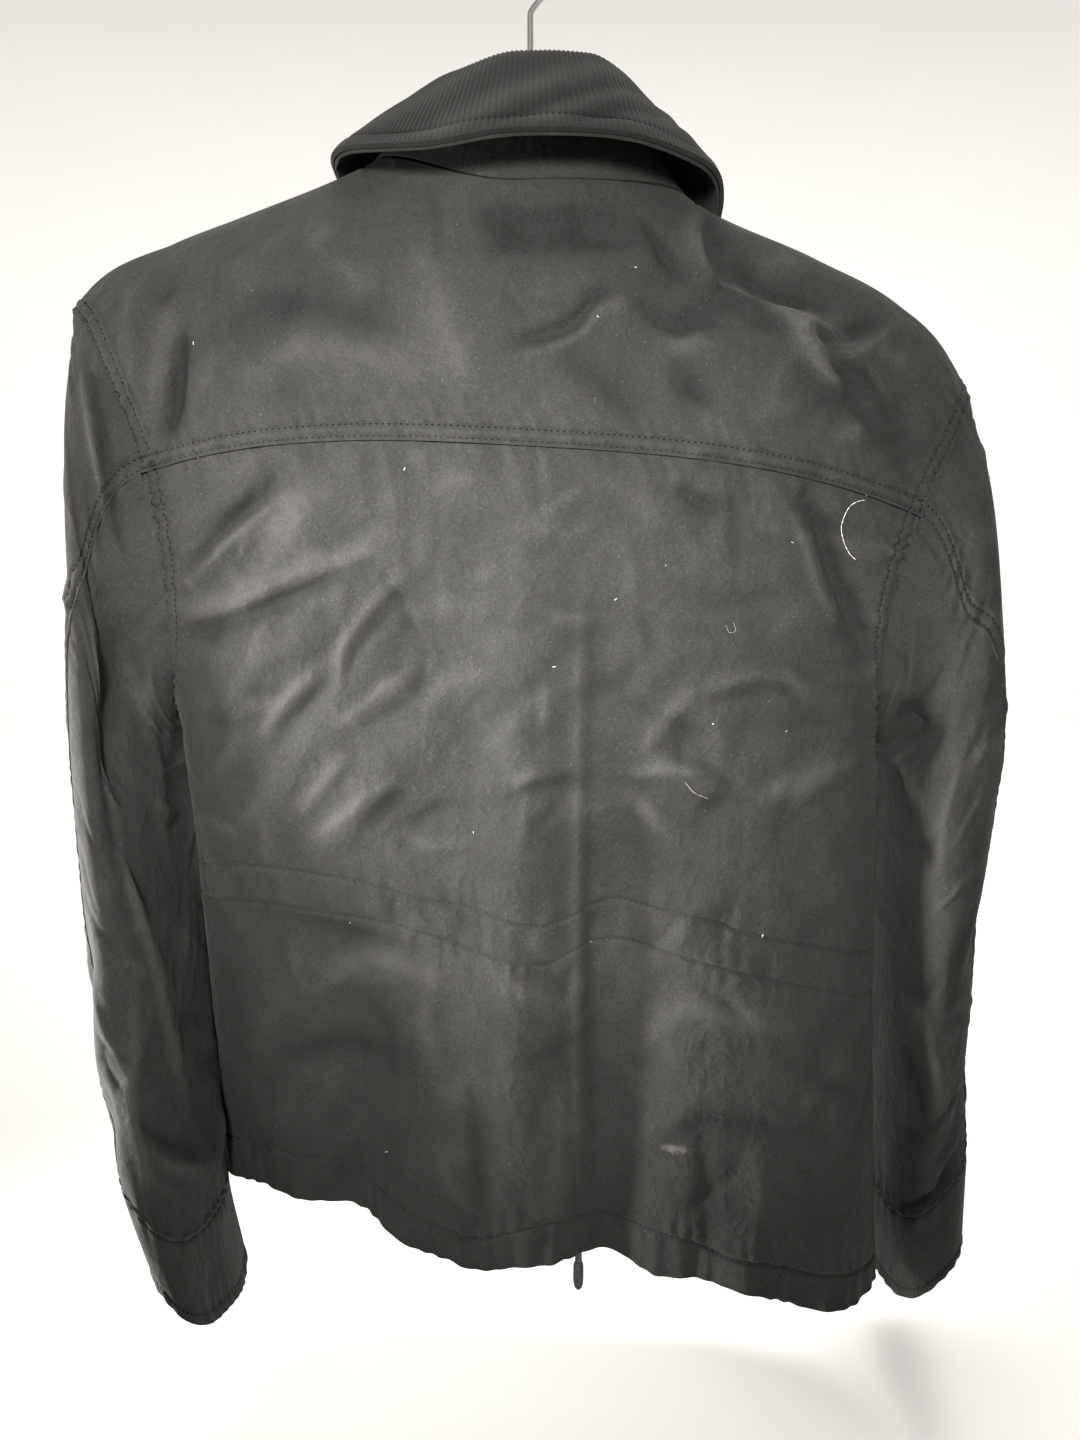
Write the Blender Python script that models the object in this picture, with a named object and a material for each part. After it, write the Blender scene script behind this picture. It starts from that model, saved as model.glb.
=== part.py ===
"""Dark canvas jacket with a fold-over rib-knit collar, hanging from a hanger.

The back faces -Y and the fronts face +Y.  The origin is the inside top of the
hanger's hook, where a rail carries it.  Every cloth panel is a wall worked out
from the sections in the tables below: the body from rows across it, each sleeve
from rings down the arm, the collar from profiles round the neck seam.
"""
import math

import bpy
import numpy as np

# ------------------------------------------------------------- driving sizes
CLOTH = 0.0018            # canvas wall, turned and stitched
RIB_WALL = 0.0024         # rib knit of the upper collar, under its ribs
RIB_HEIGHT = 0.0006       # how far a knit rib stands above the knit wall
RIB_PITCH = 0.0023        # one rib and the groove beside it
SEAM_GAP = 0.0003         # left between pieces that are sewn together
SLEEVE_SHIFT = 0.0004     # the sleeve head lies this far outside its armhole
WIRE = 0.0032             # hook wire
HOOK_RADIUS = 0.018       # inside radius of the hook
CORD = 0.0042             # waist drawcord
BUTTON_RADIUS = 0.010
BUTTON_THICK = 0.0030
BUTTON_EDGE = 0.0008      # its rounded edge
PLACKET_HALF = 0.024      # half the width of the front fly
CUFF_STEPS = 3

# --------------------------------------------- rows across the body, by level
# level 0 is the shoulder crest, 1 the yoke seam, 3 the underarm, 7 the hem
YOKE, UNDERARM, HEM = 1, 3, 7
SHOULDER_SEAM = 0.2       # the yoke's front edge: this level on the front

# The crest line over the hanger; the neck hole is cut out of its middle
CREST = (
    # place            x       z
    ("left tip",     -0.245, -0.190),
    ("left end",     -0.232, -0.177),
    ("left arm",     -0.189, -0.157),
    ("left middle",  -0.152, -0.144),
    ("left neck",    -0.088, -0.120),
    ("centre",        0.000, -0.070),
    ("right neck",    0.088, -0.138),
    ("right middle",  0.152, -0.165),
    ("right arm",     0.196, -0.187),
    ("right end",     0.222, -0.209),
    ("right tip",     0.238, -0.234),
)
NECK_LEFT, NECK_RIGHT = -0.088, 0.088
NECK_BACK_LEVEL, NECK_FRONT_LEVEL = 0.55, 0.78
NECK_ROUND = 2.0          # 2 is an ellipse, more is squarer

# Round each armhole: 0 at the shoulder tip, 90 at the back, 180 underarm
ARMHOLES = {
    "left": (
        # turn    x       y       z
        (0,    -0.245,  0.000, -0.190),
        (28,   -0.229, -0.028, -0.204),
        (75,   -0.199, -0.046, -0.277),
        (112,  -0.191, -0.048, -0.332),
        (150,  -0.193, -0.032, -0.385),
        (180,  -0.200,  0.000, -0.405),
        (210,  -0.195,  0.033, -0.386),
        (248,  -0.188,  0.050, -0.334),
        (285,  -0.196,  0.050, -0.275),
        (332,  -0.227,  0.030, -0.205),
    ),
    "right": (
        (0,     0.238,  0.000, -0.234),
        (28,    0.226, -0.029, -0.251),
        (75,    0.201, -0.047, -0.299),
        (112,   0.188, -0.049, -0.346),
        (150,   0.188, -0.034, -0.398),
        (180,   0.196,  0.000, -0.419),
        (210,   0.189,  0.034, -0.400),
        (248,   0.185,  0.051, -0.347),
        (285,   0.197,  0.051, -0.297),
        (332,   0.224,  0.030, -0.250),
    ),
}
LEVEL_TURNS = ((0, 0.0), (1, 75.0), (2, 112.0), (3, 180.0))

# Middle of each row: height, depth of the back and of the front, and how
# square the row's left and right ends are (2 is an ellipse)
ROWS = (
    # level  z_mid  back_y  front_y  left_sq  right_sq  corner
    (1,    -0.264, -0.066,  0.068,   2.4,     2.6,      1.2),
    (2,    -0.331, -0.069,  0.072,   2.8,     3.0,      1.5),
    (3,    -0.408, -0.071,  0.073,   3.2,     3.6,      2.6),
    (4,    -0.458, -0.071,  0.073,   3.0,     3.8,      2.6),
    (5,    -0.516, -0.069,  0.070,   2.7,     4.0,      2.6),
    (6,    -0.618, -0.071,  0.069,   2.4,     4.0,      2.4),
    (7,    -0.726, -0.070,  0.066,   2.2,     4.0,      2.3),
)
# The side seams below the underarm
SIDES = (
    # level  left_x  left_y  left_z  right_x  right_y  right_z
    (3,    -0.200,  0.000, -0.405,  0.196,   0.000,  -0.419),
    (4,    -0.197,  0.001, -0.450,  0.199,  -0.001,  -0.473),
    (5,    -0.196,  0.005, -0.498,  0.201,  -0.004,  -0.541),
    (6,    -0.1968, 0.013, -0.597,  0.205,  -0.012,  -0.646),
    (7,    -0.1986, 0.020, -0.704,  0.211,  -0.020,  -0.750),
)
# How much higher or lower than its row the back's hem hangs, by place across
HEM_SWING = (
    # u      rise
    (-1.00,  0.000),
    (-0.80,  0.009),
    (-0.55,  0.006),
    (-0.30, -0.002),
    (-0.05,  0.006),
    (0.15,   0.012),
    (0.32,   0.010),
    (0.42,   0.012),
    (0.60,   0.007),
    (0.80,  -0.003),
    (1.00,   0.000),
)
HEM_SWING_FROM = 5.0      # the level where the hem's swing begins

# Folds that show from a step away: a soft ridge (+) or trough (-) that runs
# from a start through a bend to an end, seen flat from behind
BACK_FOLDS = (
    # name                  x0      z0      x1      z1      x2      z2     width  height
    ("centre ridge",       0.006, -0.300, -0.004, -0.480, -0.014, -0.840, 0.026,  0.0085),
    ("beside the centre",  0.045, -0.440,  0.044, -0.580,  0.042, -0.860, 0.026, -0.0150),
    ("left hem swing",    -0.105, -0.540, -0.108, -0.680, -0.110, -0.840, 0.032, -0.0150),
    ("under yoke left",   -0.180, -0.365, -0.140, -0.320, -0.105, -0.272, 0.013, -0.0060),
    ("left diagonal a",   -0.165, -0.372, -0.130, -0.320, -0.098, -0.285, 0.010,  0.0040),
    ("left diagonal b",   -0.170, -0.420, -0.120, -0.360, -0.060, -0.320, 0.011,  0.0040),
    ("left diagonal c",   -0.165, -0.470, -0.105, -0.405, -0.070, -0.345, 0.012,  0.0040),
    ("left diagonal d",   -0.110, -0.480, -0.070, -0.420, -0.030, -0.390, 0.012,  0.0035),
    ("right armhole",      0.142, -0.290,  0.158, -0.330,  0.176, -0.372, 0.010, -0.0055),
    ("right blade",        0.050, -0.385,  0.090, -0.362,  0.135, -0.378, 0.009,  0.0030),
    ("right low",          0.060, -0.425,  0.105, -0.428,  0.150, -0.412, 0.012,  0.0035),
    ("left shoulder up",  -0.190, -0.183, -0.200, -0.215, -0.197, -0.250, 0.010,  0.0050),
    ("left shoulder in",  -0.176, -0.192, -0.182, -0.225, -0.180, -0.258, 0.010, -0.0050),
    ("right neck fold",    0.084, -0.160,  0.112, -0.196,  0.158, -0.212, 0.011,  0.0065),
    ("right neck hollow",  0.100, -0.166,  0.132, -0.190,  0.166, -0.196, 0.012, -0.0075),
    ("right cap hollow",   0.172, -0.205,  0.190, -0.228,  0.196, -0.262, 0.013, -0.0070),
    ("right cap ridge",    0.128, -0.190,  0.166, -0.232,  0.186, -0.272, 0.010,  0.0050),
    ("neck dent",          0.030, -0.165,  0.056, -0.178,  0.080, -0.172, 0.010, -0.0045),
)
FRONT_FOLDS = (
    ("left drop",         -0.120, -0.300, -0.112, -0.460, -0.105, -0.720, 0.026,  0.0060),
    ("right drop",         0.125, -0.310,  0.128, -0.470,  0.130, -0.740, 0.026,  0.0060),
    ("left chest",        -0.175, -0.380, -0.130, -0.320, -0.090, -0.285, 0.013, -0.0050),
    ("right chest",        0.172, -0.392,  0.130, -0.335,  0.092, -0.300, 0.013, -0.0050),
)
HEM_WAVE_HEIGHT = 0.0022  # the hem's turned edge ripples in and out
HEM_WAVES = 15
HEM_WAVE_REACH = 0.55     # over this many levels above the hem

# ------------------------------------------------------- rings down the sleeves
# ring 0 is the armhole itself, ring 6 the cuff seam, ring 7 the cuff's edge
SLEEVES = {
    "left": (
        # ring  outer_x  outer_z  inner_x  inner_z  mid_y  half_y  back_up  square
        (1,    -0.2425, -0.222, -0.2040, -0.420, -0.002, 0.056,  0.000,  2.2),
        (2,    -0.2400, -0.290, -0.2065, -0.440, -0.006, 0.062,  0.000,  2.4),
        (3,    -0.2385, -0.380, -0.2065, -0.475, -0.014, 0.066,  0.000,  2.5),
        (4,    -0.2380, -0.475, -0.2000, -0.537, -0.026, 0.067,  0.002,  2.6),
        (5,    -0.2350, -0.568, -0.1935, -0.612, -0.042, 0.063,  0.006,  2.6),
        (6,    -0.2230, -0.643, -0.1845, -0.694, -0.056, 0.056,  0.011,  2.6),
        (7,    -0.2080, -0.706, -0.1740, -0.750, -0.060, 0.053,  0.016,  2.6),
    ),
    "right": (
        (1,     0.2430, -0.262,  0.2000, -0.434,  0.000, 0.057,  0.000,  2.2),
        (2,     0.2515, -0.318,  0.2050, -0.448,  0.001, 0.063,  0.000,  2.4),
        (3,     0.2565, -0.400,  0.2080, -0.485,  0.003, 0.066,  0.000,  2.5),
        (4,     0.2560, -0.495,  0.2120, -0.552,  0.006, 0.066,  0.000,  2.6),
        (5,     0.2570, -0.592,  0.2180, -0.638,  0.010, 0.062,  0.000,  2.6),
        (6,     0.2660, -0.669,  0.2225, -0.723,  0.014, 0.055,  0.000,  2.6),
        (7,     0.2700, -0.738,  0.2245, -0.782,  0.016, 0.052,  0.000,  2.6),
    ),
}
CUFF_RING, SLEEVE_END = 6, 7
# The two sleeve seams, as turns round the arm, from armhole to cuff
SLEEVE_SEAMS = (
    # ring  back_turn  front_turn
    (0,     75.0,      75.0),
    (1,     88.0,      78.0),
    (2,     75.0,      82.0),
    (3,     54.0,      86.0),
    (4,     45.0,      88.0),
    (7,     40.0,      92.0),
)
SLEEVE_FOLDS = {
    "left": (
        # name             turn0 ring0 turn1 ring1 turn2 ring2 width  height
        ("back crevice",    120,  0.55,  116,  1.60,  128,  3.20, 0.30, -0.0100),
        ("outer ridge",      72,  0.60,   70,  2.20,   74,  4.20, 0.26,  0.0040),
        ("elbow fold",       95,  4.10,   80,  4.60,   60,  5.00, 0.20, -0.0035),
        ("wrist fold",      110,  5.10,   90,  5.50,   70,  5.75, 0.18, -0.0035),
    ),
    "right": (
        ("underarm fold",   165,  0.70,  135,  1.30,  110,  2.20, 0.26, -0.0080),
        ("outer ridge",      60,  1.20,   70,  2.40,   80,  3.80, 0.26,  0.0035),
        ("elbow fold",       60,  3.90,   85,  4.30,  115,  4.60, 0.20, -0.0035),
        ("wrist fold a",     75,  5.20,  100,  5.45,  120,  5.80, 0.16, -0.0040),
        ("wrist fold b",     80,  5.60,  100,  5.85,  120,  6.00, 0.14, -0.0030),
    ),
}
SLEEVE_FOLD_ROUND = 60.0  # degrees of turn that count as one ring of length

# -------------------------------------------------------------------- collar
# Round the neck seam: how far the fold leans in and rises, and where the
# leaf's edge hangs, all measured from the seam
COLLAR = (
    # station  fold_in  fold_up  edge_out  edge_up
    (0.00,     0.004,   0.026,   0.022,   -0.046),
    (0.10,     0.010,   0.026,   0.024,   -0.034),
    (0.20,     0.020,   0.024,   0.019,   -0.010),
    (0.27,     0.024,   0.022,   0.019,    0.0025),
    (0.36,     0.023,   0.031,   0.026,    0.001),
    (0.43,     0.018,   0.047,   0.033,    0.004),
    (0.50,     0.015,   0.058,   0.036,    0.012),
    (0.57,     0.016,   0.058,   0.034,    0.012),
    (0.64,     0.021,   0.043,   0.028,    0.008),
    (0.73,     0.025,   0.034,   0.017,    0.004),
    (0.80,     0.019,   0.030,   0.017,   -0.009),
    (0.90,     0.010,   0.030,   0.024,   -0.034),
    (1.00,     0.004,   0.026,   0.022,   -0.046),
)
STAND_INSET = 0.0052      # from the seam to the knit side of the stand
FOLD_ROUND = 0.0075       # half the width of the rolled fold
LEAF_BELLY = 0.0025       # how far the middle of the leaf rounds out
COLLAR_DROP = 0.0002      # the stand starts this far below the neck edge's outside
COLLAR_END = 0.020        # share of the neck seam left bare at each front edge
UNDER_WALL = 0.0014
COLLAR_GAP = 0.0005       # between the knit and the canvas layer under it

# -------------------------------------------------------------------- hanger
HOOK_STEM_TOP = -0.047    # the stem is straight up to here
HOOK_BEND = (
    # x        z
    (0.0035,  -0.0415),
    (0.0115,  -0.0350),
    (0.0175,  -0.0280),
)
HOOK_ARC = (-12, 205)     # degrees round the rail, from the bend to the tip
BAR_TIP = 0.020           # the bar thins over this length at each end
BAR_HALF_Y, BAR_HALF_Z = 0.0065, 0.0085
BAR = (
    # place            x       z of its top
    ("left end",     -0.212, -0.1715),
    ("left arm",     -0.189, -0.1610),
    ("left middle",  -0.152, -0.1495),
    ("left neck",    -0.098, -0.1325),
    ("left rise",    -0.050, -0.1160),
    ("centre",        0.000, -0.1060),
    ("right rise",    0.050, -0.1250),
    ("right neck",    0.098, -0.1482),
    ("right middle",  0.152, -0.1695),
    ("right arm",     0.190, -0.1890),
)

# ---------------------------------------------------------------- small pieces
EYELET_PLACE = (0.028, -0.530)
EYELET_RADIUS, EYELET_BORE, EYELET_HEIGHT = 0.0060, 0.0026, 0.0014
CORD_LENGTH_PLACES = (
    # down     inward
    (0.000,   0.0000),
    (0.004,   0.0060),
    (0.014,   0.0095),
    (0.050,   0.0105),
    (0.110,   0.0095),
    (0.170,   0.0100),
    (0.2055,  0.0100),
)
TIP_SHAPE = (
    # radius  down
    (0.0022,  0.000),
    (0.0031,  0.003),
    (0.0032,  0.012),
    (0.0022,  0.018),
    (0.0012,  0.020),
)
BUTTON_LEVELS = (1.15, 2.1, 3.1, 4.15, 5.1, 5.75, 6.4)

# ------------------------------------------------------------- grid densities
SHOULDER_STEPS, HALF_NECK_STEPS = 7, 6
YOKE_STEPS, FRONT_TOP_STEPS, ARMHOLE_STEPS, BODY_STEPS = 7, 5, 5, 10
SLEEVE_STEPS = 13
COLLAR_STEPS = 34

COLOURS = {
    "canvas": ((0.072, 0.069, 0.064), 0.88, 0.0),
    "rib_knit": ((0.052, 0.051, 0.048), 0.94, 0.0),
    "hanger": ((0.46, 0.30, 0.17), 0.50, 0.0),
    "steel": ((0.62, 0.62, 0.60), 0.26, 1.0),
    "button": ((0.030, 0.029, 0.028), 0.42, 0.0),
    "cord": ((0.016, 0.016, 0.017), 0.80, 0.0),
}


# =============================================================== curve helpers
def through(knots, values, at, closed=None):
    """Smooth curve through a table's rows; closed is the length of one round."""
    knots = np.asarray(knots, float)
    values = np.asarray(values, float)
    at = np.asarray(at, float)
    if closed:
        knots = np.concatenate([knots[-2:] - closed, knots, knots[:3] + closed])
        values = np.concatenate([values[-2:], values, values[:3]])
        at = np.mod(at, closed)
    step = np.diff(knots)
    shape = (-1,) + (1,) * (values.ndim - 1)
    slope = np.diff(values, axis=0) / step.reshape(shape)
    tangent = np.empty_like(values)
    tangent[0], tangent[-1] = slope[0], slope[-1]
    before, after = step[:-1].reshape(shape), step[1:].reshape(shape)
    tangent[1:-1] = (after * slope[:-1] + before * slope[1:]) / (before + after)
    if not closed:
        turn = slope[:-1] * slope[1:] <= 0
        limit = 3 * np.minimum(abs(slope[:-1]), abs(slope[1:]))
        tangent[1:-1] = np.where(turn, 0, np.clip(tangent[1:-1], -limit, limit))
    i = np.clip(np.searchsorted(knots, at, side="right") - 1, 0, len(step) - 1)
    pad = at.shape + (1,) * (values.ndim - 1)
    h = step[i].reshape(pad)
    t = ((at - knots[i]) / step[i]).reshape(pad)
    ease = t * t * (3 - 2 * t)
    return (values[i] * (1 - ease) + values[i + 1] * ease
            + h * tangent[i] * t * (1 - t) ** 2 - h * tangent[i + 1] * t * t * (1 - t))


def column(table, index):
    return np.array([row[index] for row in table], float)


def read(table, at, first=1):
    """All the number columns of a table at the knots in its first column."""
    values = np.array([row[first:] for row in table], float)
    return np.moveaxis(through(column(table, 0), values, at), -1, 0)


def unit(v):
    return v / np.maximum(np.linalg.norm(v, axis=-1, keepdims=True), 1e-12)


def soft(t):
    t = np.clip(t, 0, 1)
    return t * t * (3 - 2 * t)


def fold_heights(places, rows, scale=1.0):
    """Height of the ridges and troughs at flat places, summed."""
    total = np.zeros(places.shape[:-1])
    for _, a0, b0, a1, b1, a2, b2, width, height in rows:
        t = np.linspace(0, 1, 13)[:, None]
        start, bend, end = (np.array(p, float) for p in ((a0, b0), (a1, b1), (a2, b2)))
        control = 2 * bend - (start + end) / 2
        path = (1 - t) ** 2 * start + 2 * t * (1 - t) * control + t * t * end
        path[:, 0] /= scale
        spot = places / np.array([scale, 1.0])
        nearest = np.full(places.shape[:-1], 1e9)
        along = np.zeros(places.shape[:-1])
        for i in range(len(path) - 1):
            run = path[i + 1] - path[i]
            s = np.clip(((spot - path[i]) @ run) / (run @ run), 0, 1)
            gap = np.linalg.norm(spot - path[i] - s[..., None] * run, axis=-1)
            closer = gap < nearest
            nearest = np.where(closer, gap, nearest)
            along = np.where(closer, (i + s) / (len(path) - 1), along)
        fade = soft(along / 0.25) * soft((1 - along) / 0.25)
        total += height * (0.25 + 0.75 * fade) * np.exp(-(nearest / width) ** 2)
    return total


# ================================================================ the body
LEFT_X, RIGHT_X = CREST[0][1], CREST[-1][1]


def across(x):
    """Place across the crest, -1 at the left tip to 1 at the right tip."""
    return (2 * x - LEFT_X - RIGHT_X) / (RIGHT_X - LEFT_X)


NECK_ACROSS_LEFT, NECK_ACROSS_RIGHT = across(NECK_LEFT), across(NECK_RIGHT)


def armhole(side, turn):
    rows = ARMHOLES[side]
    values = np.array([row[1:] for row in rows], float)
    return through(column(rows, 0), values, turn, closed=360.0)


def level_turn(level, face):
    """Turn round the armhole where the row at this level ends."""
    turn = through(column(LEVEL_TURNS, 0), column(LEVEL_TURNS, 1), abs(level))
    return np.where(face < 0, turn, 360.0 - turn)


def row_ends(level, face):
    """Left and right end of the rows of one face, at or above the hem."""
    low = read(SIDES, np.maximum(level, UNDERARM))
    ends = []
    for k, side in enumerate(("left", "right")):
        high = armhole(side, level_turn(np.minimum(level, UNDERARM), face))
        side_seam = np.stack([low[3 * k], low[3 * k + 1], low[3 * k + 2]], axis=-1)
        ends.append(np.where((level > UNDERARM)[..., None], side_seam, high))
    return ends


def row_body(u, level, face):
    """Points below the yoke line, u across and level down."""
    left, right = row_ends(level, face)
    z_mid, back_y, front_y, left_sq, right_sq, corner = read(ROWS, np.maximum(level, 1.0))
    mix = (u + 1) / 2
    square = left_sq + (right_sq - left_sq) * soft(mix)
    crown = np.maximum(1 - np.abs(u) ** square, 0) ** (1 / corner)
    depth = np.where(face < 0, back_y, front_y)
    line = left * (1 - mix[..., None]) + right * mix[..., None]
    middle = (left + right) / 2
    y = line[..., 1] + (depth - middle[..., 1]) * crown
    sag = middle[..., 2] - z_mid
    z = z_mid + (line[..., 2] - middle[..., 2]) + sag * np.abs(u) ** 3
    swing = through(column(HEM_SWING, 0), column(HEM_SWING, 1), u)
    z = z + swing * soft((level - HEM_SWING_FROM) / (HEM - HEM_SWING_FROM)) * (face < 0)
    return np.stack([line[..., 0], y, z], axis=-1)


def crest(u):
    x = LEFT_X + (RIGHT_X - LEFT_X) * (u + 1) / 2
    z = through(column(CREST, 1), column(CREST, 2), x)
    return np.stack([x, np.zeros_like(x), z], axis=-1)


def row_shoulder(u, level, face):
    """Points between the crest and the yoke line, rounded over the hanger."""
    swing = level * math.pi / 2
    top, low = crest(u), row_body(u, np.ones_like(level), face)

    def over(a, b):
        ease = 1 - np.cos(swing)
        x = a[..., 0] + (b[..., 0] - a[..., 0]) * np.sin(swing) ** 1.5
        y = b[..., 1] * np.sin(swing)
        z = a[..., 2] + (b[..., 2] - a[..., 2]) * ease
        return np.stack([x, y, z], axis=-1)

    points = over(top, low)
    for end, sign in zip(row_ends(level, face), (-1.0, 1.0)):
        edge_u = np.full_like(u, sign)
        miss = end - over(crest(edge_u), row_body(edge_u, np.ones_like(level), face))
        points = points + miss * (np.clip(sign * u, 0, 1) ** 5)[..., None]
    return points


def body_form(u, level, face):
    """The cloth's plain form before folds; a negative level is the far face."""
    u, level = np.broadcast_arrays(np.asarray(u, float), np.asarray(level, float))
    face = np.where(level < 0, -face, face) * np.ones_like(u)
    level = abs(level)
    shoulder = row_shoulder(u, np.minimum(level, 1.0), face)
    body = row_body(u, np.maximum(level, 1.0), face)
    return np.where((level < 1)[..., None], shoulder, body)


def form_normals(form, a, b, step_a, step_b, flip):
    """Outward unit normals of a form(a, b), by small steps inside its range."""
    span_a = form(a + step_a[1], b) - form(a + step_a[0], b)
    span_b = form(a, b + step_b[1]) - form(a, b + step_b[0])
    return flip * unit(np.cross(span_a, span_b))


def body_normals(u, level, face):
    """Outward normals; the step at each end of a row stays on the cloth."""
    step = 0.004
    inside = np.clip(u, -1 + step, 1 - step)

    def form(a, b):
        return body_form(a, b, face)

    low = np.minimum(level, HEM - step)
    return form_normals(form, inside, low, (-step, step), (-step, step), face)


def body_points(u, level, face):
    """Outer points of the cloth with its folds, and their normals."""
    u, level = np.broadcast_arrays(np.asarray(u, float), np.asarray(level, float))
    points = body_form(u, level, face)
    normals = body_normals(u, level, face)
    rows = BACK_FOLDS if face < 0 else FRONT_FOLDS
    lift = fold_heights(points[..., [0, 2]], rows)
    edge = soft((1 - np.abs(u)) / 0.10)
    top = soft((level - 0.10) / 0.25)
    hem = soft((level - (HEM - HEM_WAVE_REACH)) / HEM_WAVE_REACH)
    wave = np.sin(u * HEM_WAVES * math.pi / 2 + 0.8 * np.sin(3 * u))
    lift = lift * edge * top + HEM_WAVE_HEIGHT * hem * wave * edge
    return points + normals * lift[..., None], normals


def columns():
    """Places across the body; the neck's corners are among them."""
    left = -1 + (NECK_ACROSS_LEFT + 1) * ease_in(SHOULDER_STEPS)
    quarter = np.linspace(0, math.pi / 2, HALF_NECK_STEPS + 1)
    neck_left = NECK_ACROSS_LEFT * np.cos(quarter)
    neck_right = NECK_ACROSS_RIGHT * np.sin(quarter)
    right = 1 - (1 - NECK_ACROSS_RIGHT) * ease_in(SHOULDER_STEPS)[::-1]
    return np.concatenate([left, neck_left[1:], neck_right[1:], right[1:]])


def ease_in(steps):
    """0 to 1, closer together near 0, where the body's sides turn."""
    t = np.linspace(0, 1, steps + 1)
    return 0.25 * t + 0.75 * t ** 2


def neck_level(u, face):
    """Level of the panel's top edge: the neckline, or the shoulder seam."""
    limit = np.where(u < 0, NECK_ACROSS_LEFT, NECK_ACROSS_RIGHT)
    inside = np.clip(np.abs(u / limit), 0, 1)
    bowl = (1 - inside ** NECK_ROUND) ** (1 / NECK_ROUND)
    if face < 0:
        return -SHOULDER_SEAM + (NECK_BACK_LEVEL + SHOULDER_SEAM) * bowl
    return SHOULDER_SEAM + (NECK_FRONT_LEVEL - SHOULDER_SEAM) * bowl


def levels_between(first, last, steps):
    return np.linspace(first, last, steps + 1)


ARMHOLE_LEVELS = levels_between(YOKE, UNDERARM, ARMHOLE_STEPS)
BODY_LEVELS = levels_between(UNDERARM, HEM, BODY_STEPS)
BACK_LEVELS = np.concatenate([ARMHOLE_LEVELS, BODY_LEVELS[1:]])


def yoke_grid():
    u = columns()[None, :]
    share = levels_between(0, 1, YOKE_STEPS)[:, None]
    top = neck_level(u, -1)
    return body_points(u, top + (YOKE - top) * share, -1)


def back_grid():
    return body_points(columns()[None, :], BACK_LEVELS[:, None], -1)


def front_grid(side):
    u = columns()
    half = u[u <= 1e-9] if side == "left" else u[u >= -1e-9]
    half = half[None, :]
    share = levels_between(0, 1, FRONT_TOP_STEPS)[:, None]
    top = neck_level(half, 1)
    upper = top + (YOKE - top) * share
    lower = BACK_LEVELS[1:, None] + np.zeros_like(half)
    return body_points(half, np.concatenate([upper, lower]), 1)


# =============================================================== the sleeves
def sleeve_turns():
    """Turns round the armhole that the sleeve shares with the body's rows."""
    front = level_turn(levels_between(YOKE, SHOULDER_SEAM, FRONT_TOP_STEPS), 1) - 360.0
    yoke = levels_between(-SHOULDER_SEAM, YOKE, YOKE_STEPS)
    over = np.where(yoke < 0, -level_turn(yoke, -1), level_turn(yoke, -1))
    upper = np.concatenate([front, over[1:]])
    back = level_turn(ARMHOLE_LEVELS, -1)
    under_front = level_turn(ARMHOLE_LEVELS[::-1], 1)
    return upper, np.concatenate([back, under_front[1:]])


def sleeve_form(side, turn, ring):
    """Plain form of a sleeve; turn is measured at the armhole, ring down it."""
    turn, ring = np.broadcast_arrays(np.asarray(turn, float), np.asarray(ring, float))
    back_seam, front_seam = read(SLEEVE_SEAMS, ring)
    signed = np.where(turn > 180 + 1e-9, turn - 360, turn)
    size = np.abs(signed)
    seam = np.where(signed >= 0, back_seam, front_seam)
    remapped = np.where(size <= 75.0, size / 75.0 * seam,
                        seam + (size - 75.0) / 105.0 * (180.0 - seam))
    angle = np.radians(remapped) * np.sign(signed + 1e-12)
    knots = column(SLEEVES[side], 0)
    rows = np.array([row[1:] for row in SLEEVES[side]], float)
    outer_x, outer_z, inner_x, inner_z, mid_y, half_y, back_up, square = rows.T
    power = 2 / square
    c, s = np.cos(angle)[..., None], np.sin(angle)[..., None]
    reach = (1 - np.sign(c) * np.abs(c) ** power) / 2
    sideways = np.sign(s) * np.abs(s) ** power
    rings = np.stack([
        outer_x + (inner_x - outer_x) * reach,
        mid_y - half_y * sideways,
        outer_z + (inner_z - outer_z) * reach + back_up * sideways], axis=-1)
    shift = SLEEVE_SHIFT * (-1 if side == "left" else 1)
    start = armhole(side, np.mod(turn, 360.0)) + np.array([shift, 0, 0])
    stations = np.concatenate([start[None], np.moveaxis(rings, -2, 0)])
    knots = np.concatenate([[0.0], knots])
    return pick_through(knots, stations, ring)


def pick_through(knots, stations, at):
    """Smooth curve through stations, where each point has its own place on it."""
    step = np.diff(knots)
    slope = np.diff(stations, axis=0) / step.reshape((-1,) + (1,) * (stations.ndim - 1))
    tangent = np.empty_like(stations)
    tangent[0], tangent[-1] = slope[0], slope[-1]
    tangent[1:-1] = (slope[:-1] + slope[1:]) / 2
    i = np.clip(np.searchsorted(knots, at, side="right") - 1, 0, len(step) - 1)
    pick = (i,) + tuple(np.indices(at.shape))
    after = (i + 1,) + tuple(np.indices(at.shape))
    h = step[i][..., None]
    t = ((at - knots[i]) / step[i])[..., None]
    ease = t * t * (3 - 2 * t)
    return (stations[pick] * (1 - ease) + stations[after] * ease
            + h * tangent[pick] * t * (1 - t) ** 2 - h * tangent[after] * t * t * (1 - t))


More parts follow.
